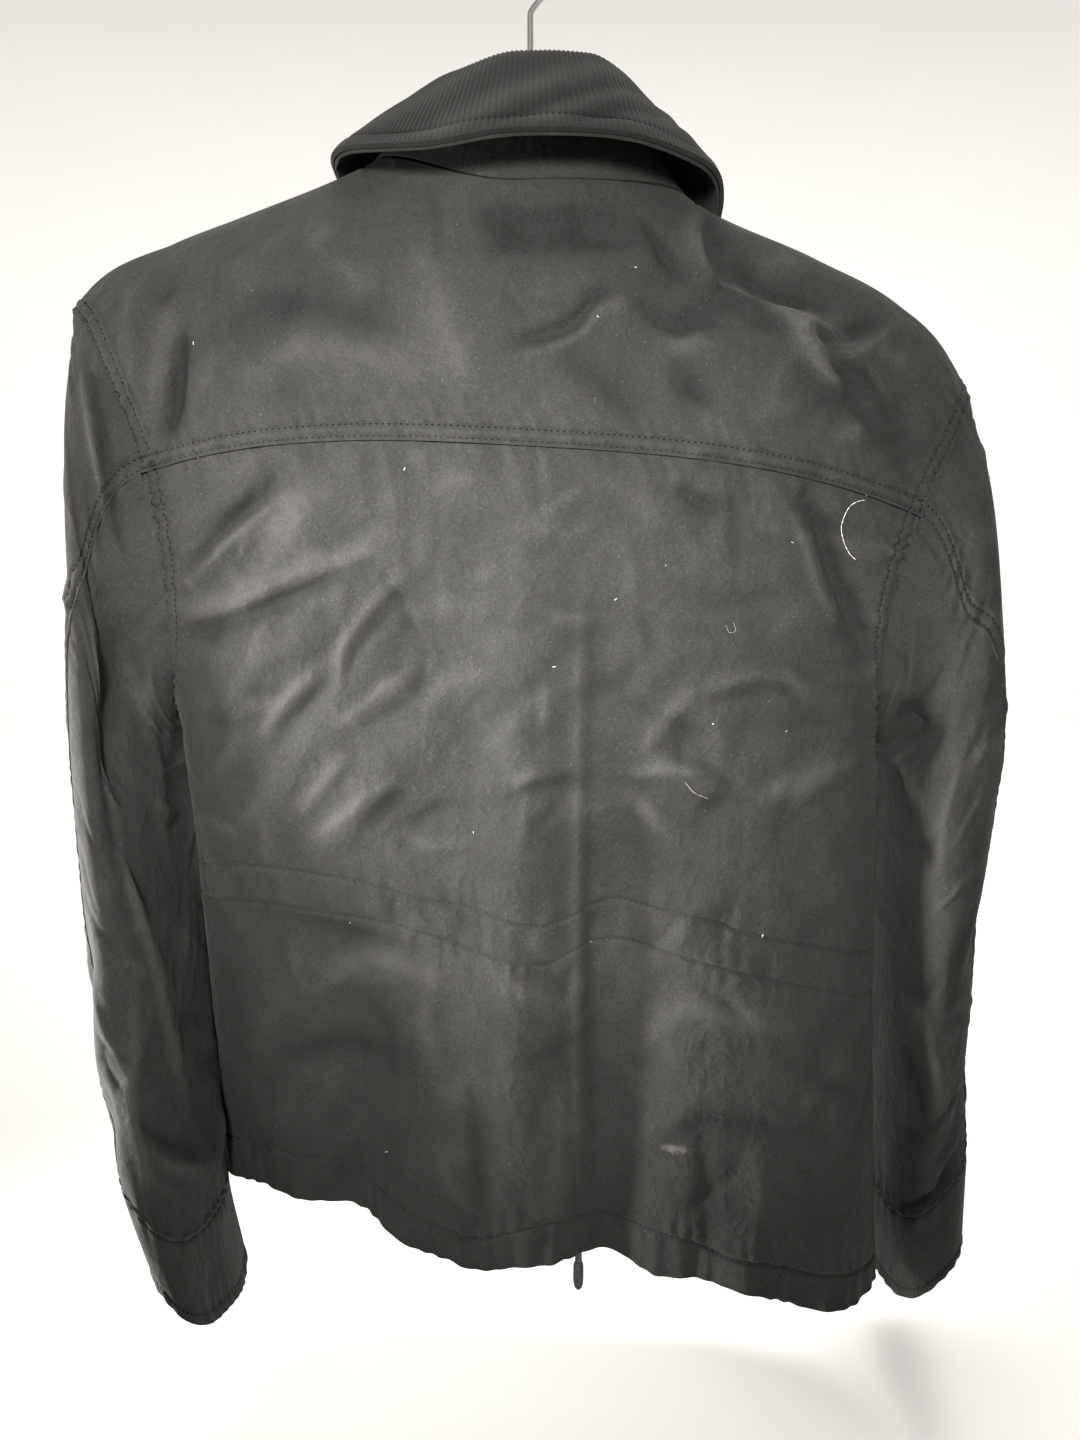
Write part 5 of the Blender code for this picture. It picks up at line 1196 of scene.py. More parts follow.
# ================================================================== the sleeves
def sleeve_sheet(side, part):
    """The upper (over the arm) or under half of one sleeve, from its back seam round."""
    upper = part == "upper"
    turns = np.linspace(SEAM_TURN, -SEAM_TURN if upper else 360 - SEAM_TURN, 181)
    fine = np.linspace(0, CUFF_RING, 241)
    line = sleeve_form(side, np.full_like(fine, SEAM_TURN), fine)
    middle = 2 * round((along(line)[-1] - 0.012 - NEAR_CUFF[-1]) / MESH_STEP / 2) + 1
    rings = odd_laid(line[None], fine, NEAR_SEAM[::2], middle, NEAR_CUFF)[0][0]
    curve = sleeve_form(side, turns[None, :], rings[:, None])
    width = along(curve[len(rings) // 2])[-1]
    middle = round((width - NEAR_SEAM[-1]) / COARSE_STEP) + 1
    turn, gaps = odd_laid(curve, turns, NEAR_SEAM, middle, ONE_EDGE)
    ring = np.broadcast_to(rings[:, None], turn.shape)
    points, normals = sleeve_points(side, turn, ring)
    down = run_down(points)
    sheet = {"points": points, "normals": normals, "across": gaps, "down": down}
    front, up = gaps[:, -1:] - gaps, down[-1:] - down
    places = np.stack([turn * DEGREE, ring * RING_LENGTH], axis=-1)
    calm = soft(down / 0.012) * soft(up / 0.008) * soft(gaps / 0.004 + 0.3) * soft(front / 0.006)
    creases = crease_lift(places, sleeve_rows(side)) * calm
    lift = creases + pucker(gaps, down, 3.0, 0.016, 0.0010) * soft(gaps / 0.003) * soft(front / 0.003)
    lift += pucker(gaps, up, 3.7, 0.016, 0.0011) * soft(front / 0.003)
    if side == "left" and not upper:
        swell = soft((ring - 3.2) / 1.2) * (1 - soft((ring - 5.6) / 0.4))
        lift += SLEEVE_SWELL * swell * np.exp(-((turn - SWELL_TURN) / SWELL_REACH) ** 2)
    past_cap = soft((ring - 1.1) / 0.7)
    if upper:
        gathers = 0.7 * LADDER * ripple(down, 0.0085, 1.1) * (1 - soft((gaps - 0.009) / 0.003))
        lift += (lap(gaps) + gathers * (1 - 0.75 * past_cap)) * soft(down / 0.006)
    beside = np.maximum(gaps - (LAP_WIDTH if upper else 0), 0)
    lift += pucker(down, beside, 1.1, 0.009, 0.0008) * (1 - 0.6 * past_cap)
    lift += pucker(down, front, 1.9, 0.007)
    # the creases are painted into the colour too: ridges lighter as wear, troughs darker as painted shade
    return dressed(sheet, lift, creases)


def cuff_sheet(side):
    """The band round the wrist, closed on itself."""
    fine = np.linspace(CUFF_RING, SLEEVE_END, 61)
    line = sleeve_form(side, np.full_like(fine, 60.0), fine)
    rings = odd_laid(line[None], fine, NEAR_SEAM[:13], 14, NEAR_SEAM[:8])[0][0]
    turns = np.linspace(-180, 180, 361)
    curve = sleeve_form(side, turns[None, :], np.array([[(CUFF_RING + SLEEVE_END) / 2]]))
    turn = odd_laid(curve, turns, ONE_EDGE, 124, ONE_EDGE)[0][0]
    turn = np.broadcast_to(turn, (len(rings), len(turn)))
    ring = np.broadcast_to(rings[:, None], turn.shape)
    points, normals = sleeve_points(side, turn, ring)
    points[:, -1], normals[:, -1] = points[:, 0], normals[:, 0]
    down = run_down(points)
    up = down[-1:] - down
    around = 2 * math.pi * np.linspace(0, 1, points.shape[1])[None, :]
    wave = np.sin(26 * around + 0.8 * math.pi * np.sin(3 * around))
    slow = np.sin(5 * around + 0.8)
    lift = 0.5 * LAP_HEIGHT + 0.8 * furrow(down - CUFF_TOP_ROW) + 1.4 * furrow(up - CUFF_EDGE_ROW)
    lift = lift + wave * (0.0007 * np.exp(-(down / 0.010) ** 2) + 0.0004 * np.exp(-(up / 0.009) ** 2))
    lift = lift + 0.0008 * slow * soft(down / 0.01) + 0.0003 * soft((CUFF_EDGE_ROW - up) / 0.003)
    # the whole lift is painted into the colour too: raised parts lighter as wear, stitched furrows darker
    # as painted shade
    return dressed({"points": points, "normals": normals, "down": down,
                    "across": run_across(points)}, lift)


# =================================================================== the collar
def neck_seam():
    """The neck seam from the left front edge round the back to the right."""
    quarter = np.linspace(0, math.pi / 2, 25)
    left, right = NECK_ACROSS_LEFT * np.cos(quarter), NECK_ACROSS_RIGHT * np.sin(quarter)
    inner = np.concatenate([left, right[1:]])
    back = body_points(inner, neck_level(inner, -1), -1)[0]
    front_left = body_points(left, neck_level(left, 1), 1)[0]
    front_right = body_points(right, neck_level(right, 1), 1)[0]
    return np.concatenate([front_left[::-1], back[1:-1], front_right[::-1]])


def collar_stations(share):
    """Seam points and outward directions at shares of the way round the neck."""
    seam = neck_seam()
    run = along(seam)

    def seam_at(places):
        return np.stack([np.interp(places, run / run[-1], seam[:, i]) for i in range(3)], axis=-1)

    def smooth_at(places):
        return (seam_at(places - 0.008) + seam_at(places) + seam_at(places + 0.008)) / 3

    ahead, behind = seam_at(np.clip(share + 0.03, 0, 1)), seam_at(np.clip(share - 0.03, 0, 1))
    heading = unit((ahead - behind) * np.array([1.0, 1.0, 0.0]))
    outward = np.stack([heading[:, 1], -heading[:, 0], np.zeros(len(share))], axis=-1)
    front = soft((np.abs(share - 0.5) - 0.38) / 0.12)[:, None]
    ahead_only = np.array([0.0, 1.0, 0.0])
    return smooth_at(share), unit(outward * (1 - front) + ahead_only * front)


def collar_layer(share, depth, rows):
    """Grid of the collar's layer that lies depth inside its knit face."""
    points, outward = collar_stations(share)
    knots = collar_rows(*read(COLLAR, share))
    flat = through(np.arange(len(knots)), knots, rows)
    heading = unit(np.gradient(flat, axis=0))
    facing = np.stack([-heading[..., 1], heading[..., 0]], axis=-1)
    up = np.array([0.0, 0.0, 1.0])

    def lifted(pairs):
        return outward * pairs[..., :1] + up * pairs[..., 1:]

    normals = lifted(facing)
    return points + lifted(flat) - normals * depth, normals


COLLAR_ROWS = np.concatenate([np.linspace(0, 1, 11), np.linspace(1, 3, 17)[1:],
                              np.linspace(3, 4.3, 10)[1:], np.linspace(4.3, 5, 16)[1:]])
CANVAS_ROWS = np.linspace(0, 5, 25)
CANVAS_SHARES = np.linspace(COLLAR_END, 1 - COLLAR_END, 85)
COLLAR_STITCH = 0.008     # the stitched line above the leaf's edge
STAND_TUCK = 0.0045       # the knit reaches this far down inside the neck seam


def collar_knit():
    """The ribbed face of the collar, with four columns to each rib."""
    length = along(neck_seam())[-1] * (1 - 2 * COLLAR_END)
    columns = 4 * round(length / RIB_PITCH) + 1
    share = np.linspace(COLLAR_END, 1 - COLLAR_END, columns)
    points, normals = collar_layer(share, 0.0, COLLAR_ROWS)
    points[0, :, 2] -= STAND_TUCK
    down, run = run_down(points), run_across(points)
    up = down[-1:] - down
    rib = (0.5 - 0.5 * np.cos(math.pi / 2 * np.arange(columns))) * np.ones((len(COLLAR_ROWS), 1))
    ends = soft(down / 0.003) * soft(up / 0.0012)
    lift = RIB_HEIGHT * rib * (0.35 + 0.65 * ends)
    lift = lift - 0.0005 * np.exp(-((up - COLLAR_STITCH) / 0.0011) ** 2)
    swell = 0.0007 * ripple(run, 0.055, 0.4) * soft(up / 0.006) * soft((COLLAR_ROWS[:, None] - 2.6) / 0.8)
    lift = lift + swell + 0.0003 * np.exp(-((up - 0.004) / 0.003) ** 2)
    # the rib's lift is painted into the knit's colour too: painted highlight on the ribs, painted shade in
    # the grooves and the stitched line
    return dressed({"points": points, "normals": normals, "down": down, "across": run, "up": up}, lift)


def collar_canvas():
    """The canvas layer under the knit, in coarser cells."""
    points, normals = collar_layer(CANVAS_SHARES, RIB_WALL + COLLAR_GAP, CANVAS_ROWS)
    sheet = {"points": points, "normals": normals, "down": run_down(points), "across": run_across(points)}
    return dressed(sheet, np.zeros(points.shape[:2]))


# ====================================================================== meshes
SHARP_ANGLE = math.radians(62)      # corners of more than this are shaded as edges
WEAR_AND_SHADE_HEIGHT = 0.002       # a crease this high is painted fully worn, a trough this deep in full painted shade


def make_piece(name, points, faces, material, uv=None, wear=None):
    """A smooth-shaded mesh that rides the root body."""
    mesh = bpy.data.meshes.new(name)
    mesh.from_pydata(np.asarray(points, float).tolist(), [], [list(map(int, face)) for face in faces])
    mesh.materials.append(material)
    if uv is not None:
        layer = mesh.uv_layers.new(name="cloth")
        corner = np.empty(len(mesh.loops), dtype=np.int32)
        mesh.loops.foreach_get("vertex_index", corner)
        layer.data.foreach_set("uv", np.asarray(uv, np.float32)[corner].ravel())
        # the relief kept for the colour: wear on ridges, painted shade in troughs, furrows and grooves
        attribute = mesh.attributes.new("wear", "FLOAT", "POINT")
        attribute.data.foreach_set("value", np.asarray(wear, np.float32))
    mesh.shade_smooth()
    mesh.set_sharp_from_angle(angle=SHARP_ANGLE)
    item = bpy.data.objects.new(name, mesh)
    bpy.context.collection.objects.link(item)
    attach(item, "root")
    return item


def dress(piece, node):
    """The piece stands in for a solid, which is hidden."""
    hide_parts(node)
    return piece


def quads(a, b, c, d):
    return np.stack([a, b, c, d], -1).reshape(-1, 4)


def tube_faces(rings, sides, capped=True):
    """Faces of a tube through closed rings of points, and of its two flat ends."""
    index = np.arange(rings * sides).reshape(rings, sides)
    after = np.roll(index, -1, axis=1)
    faces = quads(index[:-1], index[1:], after[1:], after[:-1]).tolist()
    return faces + ([index[0].tolist(), index[-1, ::-1].tolist()] if capped else [])


def rim(fine, coarse, turn):
    """Five-cornered faces between a fine edge and one with half as many corners."""
    faces = [(fine[2 * i], fine[2 * i + 1], fine[2 * i + 2], coarse[i + 1], coarse[i])
             for i in range(len(coarse) - 1)]
    return [face[::-1] for face in faces] if turn else faces


def shell(name, sheet, thickness, material, node, ring=False):
    """A closed thin shell: the full grid outside, every second line of it inside."""
    outer, normals = sheet["points"], sheet["normals"]
    rows, cols = outer.shape[:2]
    inner = (outer - normals * thickness)[::2, ::2]
    # relief painted into the colour: wear on ridges, painted shade in troughs and furrows
    wear = sheet["wear"] / WEAR_AND_SHADE_HEIGHT
    uv = np.stack([sheet["across"], sheet["down"]], axis=-1)
    index = np.arange(rows * cols).reshape(rows, cols)
    far = np.arange(inner.shape[0] * inner.shape[1]).reshape(inner.shape[:2]) + rows * cols
    if ring:
        index, far = index.copy(), far.copy()
        index[:, -1], far[:, -1] = index[:, 0], far[:, 0]
    first_facing = np.cross(outer[1, 0] - outer[0, 0], outer[0, 1] - outer[0, 0])
    faces = quads(index[:-1, :-1], index[1:, :-1], index[1:, 1:], index[:-1, 1:]).tolist()
    faces += quads(far[:-1, :-1], far[:-1, 1:], far[1:, 1:], far[1:, :-1]).tolist()
    faces += rim(index[0], far[0], False) + rim(index[-1], far[-1], True)
    if not ring:
        faces += rim(index[:, 0], far[:, 0], True) + rim(index[:, -1], far[:, -1], False)
    if first_facing @ normals[0, 0] <= 0:
        faces = [face[::-1] for face in faces]
    points = np.concatenate([outer.reshape(-1, 3), inner.reshape(-1, 3)])
    flat_uv = np.concatenate([uv.reshape(-1, 2), uv[::2, ::2].reshape(-1, 2)])
    flat_wear_and_shade = np.concatenate([wear.ravel(), np.zeros(far.size)])
    if ring:
        used = np.concatenate([index[:, :-1].ravel(), far[:, :-1].ravel()])
        new = np.full(len(points), -1)
        new[used] = np.arange(len(used))
        faces = [[int(new[i]) for i in face] for face in faces]
        points, flat_uv, flat_wear_and_shade = points[used], flat_uv[used], flat_wear_and_shade[used]
    return dress(make_piece(name, points, faces, material, flat_uv, flat_wear_and_shade), node)


# =================================================================== stitching
def even_places(points, normals, pitch):
    """Places along a line, with the way ahead and up at each."""
    run = along(points)
    at = np.arange(pitch * 0.5, run[-1] - pitch * 0.4, pitch)

    def read_at(values, places):
        return np.stack([np.interp(places, run, values[:, i]) for i in range(3)], axis=-1)

    heading = unit(read_at(points, at + pitch / 3) - read_at(points, at - pitch / 3))
    up = unit(read_at(normals, at))
    up = unit(up - heading * np.einsum("ij,ij->i", up, heading)[:, None])
    return read_at(points, at), heading, up


def stitches(name, lines, thread, slot="canvas",
             pitch=STITCH_PITCH, length=STITCH_LENGTH, girth=STITCH_GIRTH):
    """One joined mesh of short rounded stitches along the given lines."""
    sides = 5
    places, headings, ups = (np.concatenate(parts) for parts in
                             zip(*(even_places(points, normals, pitch) for points, normals in lines)))
    rng = np.random.default_rng(len(places))
    across = np.cross(headings, ups)
    headings = unit(headings + across * rng.normal(0, 0.05, (len(places), 1)))
    angles = 2 * math.pi * np.arange(sides) / sides + math.pi / 2
    sections = []
    for share, size, rise in ((-0.5, 0.45, -0.9), (0.0, 1.0, 0.25), (0.5, 0.45, -0.9)):
        middle = places + headings * share * length + ups * (girth * rise)
        ring = (np.cos(angles)[None, :, None] * across[:, None] * 1.25
                + np.sin(angles)[None, :, None] * ups[:, None]) * girth * size
        sections.append(middle[:, None] + ring)
    points = np.stack(sections, axis=1)
    index = np.arange(len(places) * 3 * sides).reshape(-1, 3, sides)
    after = np.roll(index, -1, axis=2)
    faces = quads(index[:, :-1], index[:, 1:], after[:, 1:], after[:, :-1]).tolist()
    faces += index[:, 0].tolist() + index[:, 2, ::-1].tolist()
    make_piece(name, points.reshape(-1, 3), faces, thread)


def line_at(sheet, distances, wanted, turned_over=False):
    """The line of a sheet at a wanted distance, read between its columns or rows."""
    points, normals = sheet["points"], sheet["facing"]
    if turned_over:
        points, normals, distances = points.swapaxes(0, 1), normals.swapaxes(0, 1), distances.T
    if distances[0, 0] > distances[0, -1]:
        points, normals, distances = points[:, ::-1], normals[:, ::-1], distances[:, ::-1]
    line, up = [], []
    for row, gap in enumerate(distances):
        place = np.interp(wanted, gap, np.arange(len(gap)))
        low = min(int(place), len(gap) - 2)
        share = place - low
        line.append(points[row, low] * (1 - share) + points[row, low + 1] * share)
        up.append(normals[row, low] * (1 - share) + normals[row, low + 1] * share)
    return np.array(line), unit(np.array(up))


def row_line(sheet, row):
    """One row of a sheet as a line."""
    return sheet["points"][row], sheet["facing"][row]


# =================================================================== materials
class Nodes:
    """Short ways to add and link shader nodes to one material."""

    def __init__(self, name, roughness, **settings):
        self.material = bpy.data.materials.new(name)
        self.material.use_nodes = True
        self.tree = self.material.node_tree
        self.shader = self.tree.nodes["Principled BSDF"]
        self.shader.inputs["Roughness"].default_value = roughness
        for key, value in settings.items():
            self.shader.inputs[key.replace("_", " ")].default_value = value

    def add(self, kind, **settings):
        node = self.tree.nodes.new(kind)
        for key, value in settings.items():
            setattr(node, key, value)
        return node

    def link(self, source, target):
        self.tree.links.new(source, target)

    def coordinates(self, kind, scale):
        """Object or cloth coordinates in metres, scaled along each axis."""
        if kind == "cloth":
            source = self.add("ShaderNodeUVMap", uv_map="cloth").outputs[0]
        else:
            source = self.add("ShaderNodeTexCoord").outputs["Object"]
        mapping = self.add("ShaderNodeMapping")
        mapping.inputs["Scale"].default_value = scale
        self.link(source, mapping.inputs["Vector"])
        return mapping.outputs[0]

    def noise(self, kind, scale, detail=3.0, roughness=0.55, distortion=0.0):
        """Plain noise; one scale stands for all three axes."""
        scale = scale if isinstance(scale, tuple) else (scale,) * 3
        node = self.add("ShaderNodeTexNoise")
        node.inputs["Scale"].default_value = 1.0
        node.inputs["Detail"].default_value = detail
        node.inputs["Roughness"].default_value = roughness
        node.inputs["Distortion"].default_value = distortion
        self.link(self.coordinates(kind, scale), node.inputs["Vector"])
        return node.outputs["Fac"]

    def ridged(self, kind, scale, detail, roughness):
        """Noise with sharp crests, as washed cloth crinkles."""
        node = self.add("ShaderNodeTexNoise", noise_type="RIDGED_MULTIFRACTAL")
        for socket, value in (("Scale", 1.0), ("Detail", detail), ("Roughness", roughness),
                              ("Distortion", 0.0), ("Offset", 1.0), ("Gain", 1.5)):
            node.inputs[socket].default_value = value
        self.link(self.coordinates(kind, scale), node.inputs["Vector"])
        return node.outputs["Fac"]

    def maths(self, operation, a, b):
        node = self.add("ShaderNodeMath", operation=operation)
        for place, value in enumerate((a, b)):
            if isinstance(value, (int, float)):
                node.inputs[place].default_value = value
            else:
                self.link(value, node.inputs[place])
        return node.outputs[0]

    def total(self, *parts):
        """Weighted sum of signals less their middles: (signal, weight, middle) rows."""
        result = 0.0
        for signal, weight, middle in parts:
            here = self.maths("MULTIPLY", self.maths("SUBTRACT", signal, middle), weight)
            result = self.maths("ADD", here, result)
        return result

    def ramp(self, signal, *stops):
        node = self.add("ShaderNodeValToRGB")
        self.link(signal, node.inputs[0])
        elements = node.color_ramp.elements
        while len(elements) < len(stops):
            elements.new(0.5)
        for element, (place, colour) in zip(elements, stops):
            element.position = place
            element.color = (*colour, 1.0)
        return node.outputs[0]

    def attribute(self, name):
        return self.add("ShaderNodeAttribute", attribute_name=name).outputs["Fac"]

    def bump(self, *layers):
        """Bumps in metres laid over each other: (height signal, depth, strength) rows."""
        normal = None
        for signal, depth, strength in layers:
            node = self.add("ShaderNodeBump")
            node.inputs["Strength"].default_value = strength
            node.inputs["Distance"].default_value = depth
            self.link(signal, node.inputs["Height"])
            if normal is not None:
                self.link(normal, node.inputs["Normal"])
            normal = node.outputs[0]
        self.link(normal, self.shader.inputs["Normal"])

    def colour(self, signal):
        self.link(signal, self.shader.inputs["Base Color"])


def canvas_material():
    """Washed twill: mottled charcoal, lighter where creases have worn, with painted shade darkening the
    creases' troughs and the stitched furrows.
    """
    nodes = Nodes("canvas", 0.86, Specular_IOR_Level=0.22, Sheen_Weight=0.035,
                  Sheen_Roughness=0.5, Sheen_Tint=(0.90, 0.88, 0.84, 1.0))
    broad = nodes.noise("object", 11, 4, 0.6)
    cloudy = nodes.noise("object", 48, 5, 0.62)
    slub_across = nodes.noise("cloth", (420, 1900, 1), 2, 0.6)
    slub_down = nodes.noise("cloth", (1900, 420, 1), 2, 0.6)
    speckle = nodes.noise("object", 950, 2, 0.7)
    # the cloth's relief painted in: ridges lighter as wear, troughs and stitch furrows darker as painted
    # shade
    wear = nodes.attribute("wear")
    worn_and_shaded = nodes.maths("MINIMUM", nodes.maths("MAXIMUM", wear, -1.0), 1.0)
    tone = nodes.total((broad, 0.22, 0.5), (cloudy, 0.30, 0.5), (slub_across, 0.34, 0.5),
                       (slub_down, 0.34, 0.5), (speckle, 0.45, 0.5), (worn_and_shaded, 0.20, -2.3))
    fleck = nodes.maths("SUBTRACT", nodes.noise("object", 640, 1), 0.73)
    fleck = nodes.maths("MULTIPLY", nodes.maths("MAXIMUM", fleck, 0.0), 7.0)
    tone = nodes.maths("ADD", tone, fleck)
    colour = nodes.ramp(tone, (0.12, CANVAS_DARK), (0.46, CANVAS_MIDDLE), (0.92, CANVAS_WORN))
    nodes.colour(smudged(nodes, colour))
    weave = nodes.maths("ADD", slub_across, slub_down)
    crumple = nodes.noise("object", 130, 4, 0.6, 0.6)
    crinkle = nodes.ridged("object", (30, 30, 24), 3, 0.75)
    nodes.bump((crinkle, 0.0018, 0.30), (crumple, 0.0012, 0.36),
               (weave, 0.00022, 0.55), (speckle, 0.00014, 0.35))
    return nodes.material


def smudged(nodes, colour):
    """One small pale mark near the hem of the back, as an uneven flat ellipse."""
    place = nodes.add("ShaderNodeTexCoord").outputs["Object"]
    offset = nodes.add("ShaderNodeMapping")
    offset.inputs["Location"].default_value = tuple(-at * by for at, by in zip(SMUDGE, SMUDGE_SCALE))
    offset.inputs["Scale"].default_value = SMUDGE_SCALE
    nodes.link(place, offset.inputs["Vector"])
    length = nodes.add("ShaderNodeVectorMath", operation="LENGTH")
    nodes.link(offset.outputs[0], length.inputs[0])
    grain = nodes.noise("object", 420, 2)
    away = nodes.maths("ADD", length.outputs["Value"], nodes.maths("SUBTRACT", grain, 0.5))
    amount = nodes.ramp(away, (0.25, (0.16, 0.16, 0.16)), (0.80, (0.0, 0.0, 0.0)))
    mix = nodes.add("ShaderNodeMix", data_type="RGBA")
    nodes.link(amount, mix.inputs["Factor"])
    nodes.link(colour, mix.inputs["A"])
    mix.inputs["B"].default_value = (0.33, 0.31, 0.28, 1.0)
    return mix.outputs["Result"]


def knit_material():
    """Fine rib knit: soft, fuzzy, with painted shade down in the grooves and a painted highlight along the
    ribs.
    """
    nodes = Nodes("rib_knit", 0.93, Specular_IOR_Level=0.15, Sheen_Weight=0.05,
                  Sheen_Roughness=0.5, Sheen_Tint=(0.92, 0.90, 0.86, 1.0))
    broad = nodes.noise("object", 16, 4, 0.6)
    loops = nodes.noise("cloth", (520, 760, 1), 3, 0.65)
    fuzz = nodes.noise("object", 1300, 2, 0.7)
    # the rib's height: painted highlight on the ribs, painted shade in the grooves
    rib = nodes.attribute("wear")
    tone = nodes.total((broad, 0.5, 0.5), (loops, 0.5, 0.5), (fuzz, 0.3, 0.5), (rib, 0.55, -0.62))
    nodes.colour(nodes.ramp(tone, (0.1, KNIT_DARK), (0.55, KNIT_MIDDLE), (1.0, KNIT_LIGHT)))
    nodes.bump((loops, 0.0004, 0.5), (fuzz, 0.0002, 0.4))
    return nodes.material


def thread_material(name, dark, light):
    nodes = Nodes(name, 0.85, Specular_IOR_Level=0.1)
    speck = nodes.noise("object", 900, 2)
    nodes.colour(nodes.ramp(speck, (0.3, dark), (0.7, light)))
    nodes.bump((speck, 0.0001, 0.3))
    return nodes.material


def wood_material():
    """Satin wood with its grain along the bar."""
    nodes = Nodes("hanger_wood", 0.38, Coat_Weight=0.25, Coat_Roughness=0.25)
    rings = nodes.noise("object", (7, 150, 260), 5, 0.6, 1.2)
    pores = nodes.noise("object", (60, 1500, 1500), 2, 0.5)
    tone = nodes.total((rings, 1.0, 0.0), (pores, 0.25, 0.5))
    nodes.colour(nodes.ramp(tone, (0.3, (0.24, 0.125, 0.055)), (0.55, (0.42, 0.25, 0.12)),
                            (0.75, (0.52, 0.34, 0.18))))
    nodes.bump((rings, 0.0003, 0.25), (pores, 0.0002, 0.3))
    return nodes.material


def steel_material():
    nodes = Nodes("steel", 0.2, Metallic=1.0)
    scratches = nodes.noise("object", (500, 500, 90), 3)
    nodes.colour(nodes.ramp(scratches, (0.3, (0.52, 0.52, 0.50)), (0.7, (0.72, 0.72, 0.70))))
    nodes.bump((scratches, 0.0001, 0.15))
    return nodes.material


def button_material():
    nodes = Nodes("button", 0.42)
    mottled = nodes.noise("object", 160, 4, 0.6, 0.4)
    fine = nodes.noise("object", 900, 2)
    nodes.colour(nodes.ramp(mottled, (0.3, (0.018, 0.017, 0.016)), (0.7, (0.060, 0.056, 0.050))))
    nodes.bump((mottled, 0.0003, 0.12), (fine, 0.0001, 0.15))
    return nodes.material


def braid_material():
    """Uneven dark strands with a fuzz on them."""
    nodes = Nodes("cord", 0.8, Sheen_Weight=0.2, Sheen_Roughness=0.4,
                  Sheen_Tint=(0.9, 0.9, 0.88, 1.0))
    strands = nodes.noise("object", (700, 700, 380), 2, 0.6, 0.8)
    fuzz = nodes.noise("object", 1700, 2)
    nodes.colour(nodes.ramp(strands, (0.35, (0.016, 0.016, 0.017)), (0.7, (0.085, 0.082, 0.078))))
    nodes.bump((strands, 0.0005, 0.6), (fuzz, 0.0002, 0.3))
    return nodes.material


# ============================================================ hard small pieces
def tube(name, path, radii_side, radii_up, material, sides=24):
    """A rod of oval section along a path, rounded off at both ends."""
    path = np.asarray(path, float)
    heading = unit(np.gradient(path, axis=0))
    side = np.array([0.0, 1.0, 0.0]) * np.ones_like(path)
    upright = unit(np.cross(heading, side))
    angles = np.arange(sides) * 2 * math.pi / sides
    rings = [p + ry * np.outer(np.cos(angles), s) + rz * np.outer(np.sin(angles), up)
             for p, s, up, ry, rz in zip(path, side, upright, radii_side, radii_up)]
    return make_piece(name, np.concatenate(rings), tube_faces(len(path), sides), material)


def round_ends(points, radius):
    """A path with extra places near its ends, and the share of the radius at each."""
    turn = np.linspace(0.12, math.pi / 2, 5)
    grow, back = np.sin(turn), radius * (1 - np.cos(turn))
    first, last = unit(points[1] - points[0]), unit(points[-1] - points[-2])
    start = points[0] + np.outer(back, first)
    end = points[-1] - np.outer(back[::-1], last)
    path = np.concatenate([start, points[1:-1], end])
    share = np.concatenate([grow, np.ones(len(points) - 2), grow[::-1]])
    return path, share


def hanger(wood, steel):
    """The thinned wooden bar and the bent wire hook."""
    x = np.linspace(BAR[0][1], BAR[-1][1], 90)
    z = through(column(BAR, 1), column(BAR, 2), x) - BAR_HALF_Z
    taper = np.clip(np.minimum(x - x[0], x[-1] - x) / BAR_TIP, 0, 1)
    size = 0.55 + 0.45 * np.sqrt(taper)
    path = np.stack([x, np.zeros_like(x), z], axis=-1)
    path, share = round_ends(path, BAR_HALF_Y)
    size = np.interp(path[:, 0], x, size) * share
    bar = tube("hanger_bar_wood", path, BAR_HALF_Y * size, BAR_HALF_Z * size, wood, 28)
    dress(bar, "hanger_bar")
    path, share = round_ends(curved(hook_path(), 140), WIRE / 2)
    hook = tube("hanger_hook_wire", path, share * WIRE / 2, share * WIRE / 2, steel, 20)
    dress(hook, "hanger_hook")


def turned(name, profile, place, axis, material, sides=48, dents=None):
    """A solid turned about an axis; dents(x, y, rise) may lower its face."""
    axis = np.asarray(axis, float)
    helper = np.array([0.0, 0.0, 1.0]) if abs(axis[2]) < 0.9 else np.array([1.0, 0.0, 0.0])
    x = unit(np.cross(helper, axis))
    y = np.cross(axis, x)
    angles = np.arange(sides) * 2 * math.pi / sides
    points = []
    for number, (radius, height) in enumerate(profile):
        flat_x, flat_y = radius * np.cos(angles), radius * np.sin(angles)
        rise = np.full(sides, float(height))
        if dents is not None and number > len(profile) // 3:
            rise = dents(flat_x, flat_y, rise)
        points.append(np.array(place) + np.outer(rise, axis) + np.outer(flat_x, x) + np.outer(flat_y, y))
    faces = [face[::-1] for face in tube_faces(len(profile), sides)]
    return make_piece(name, np.concatenate(points), faces, material)


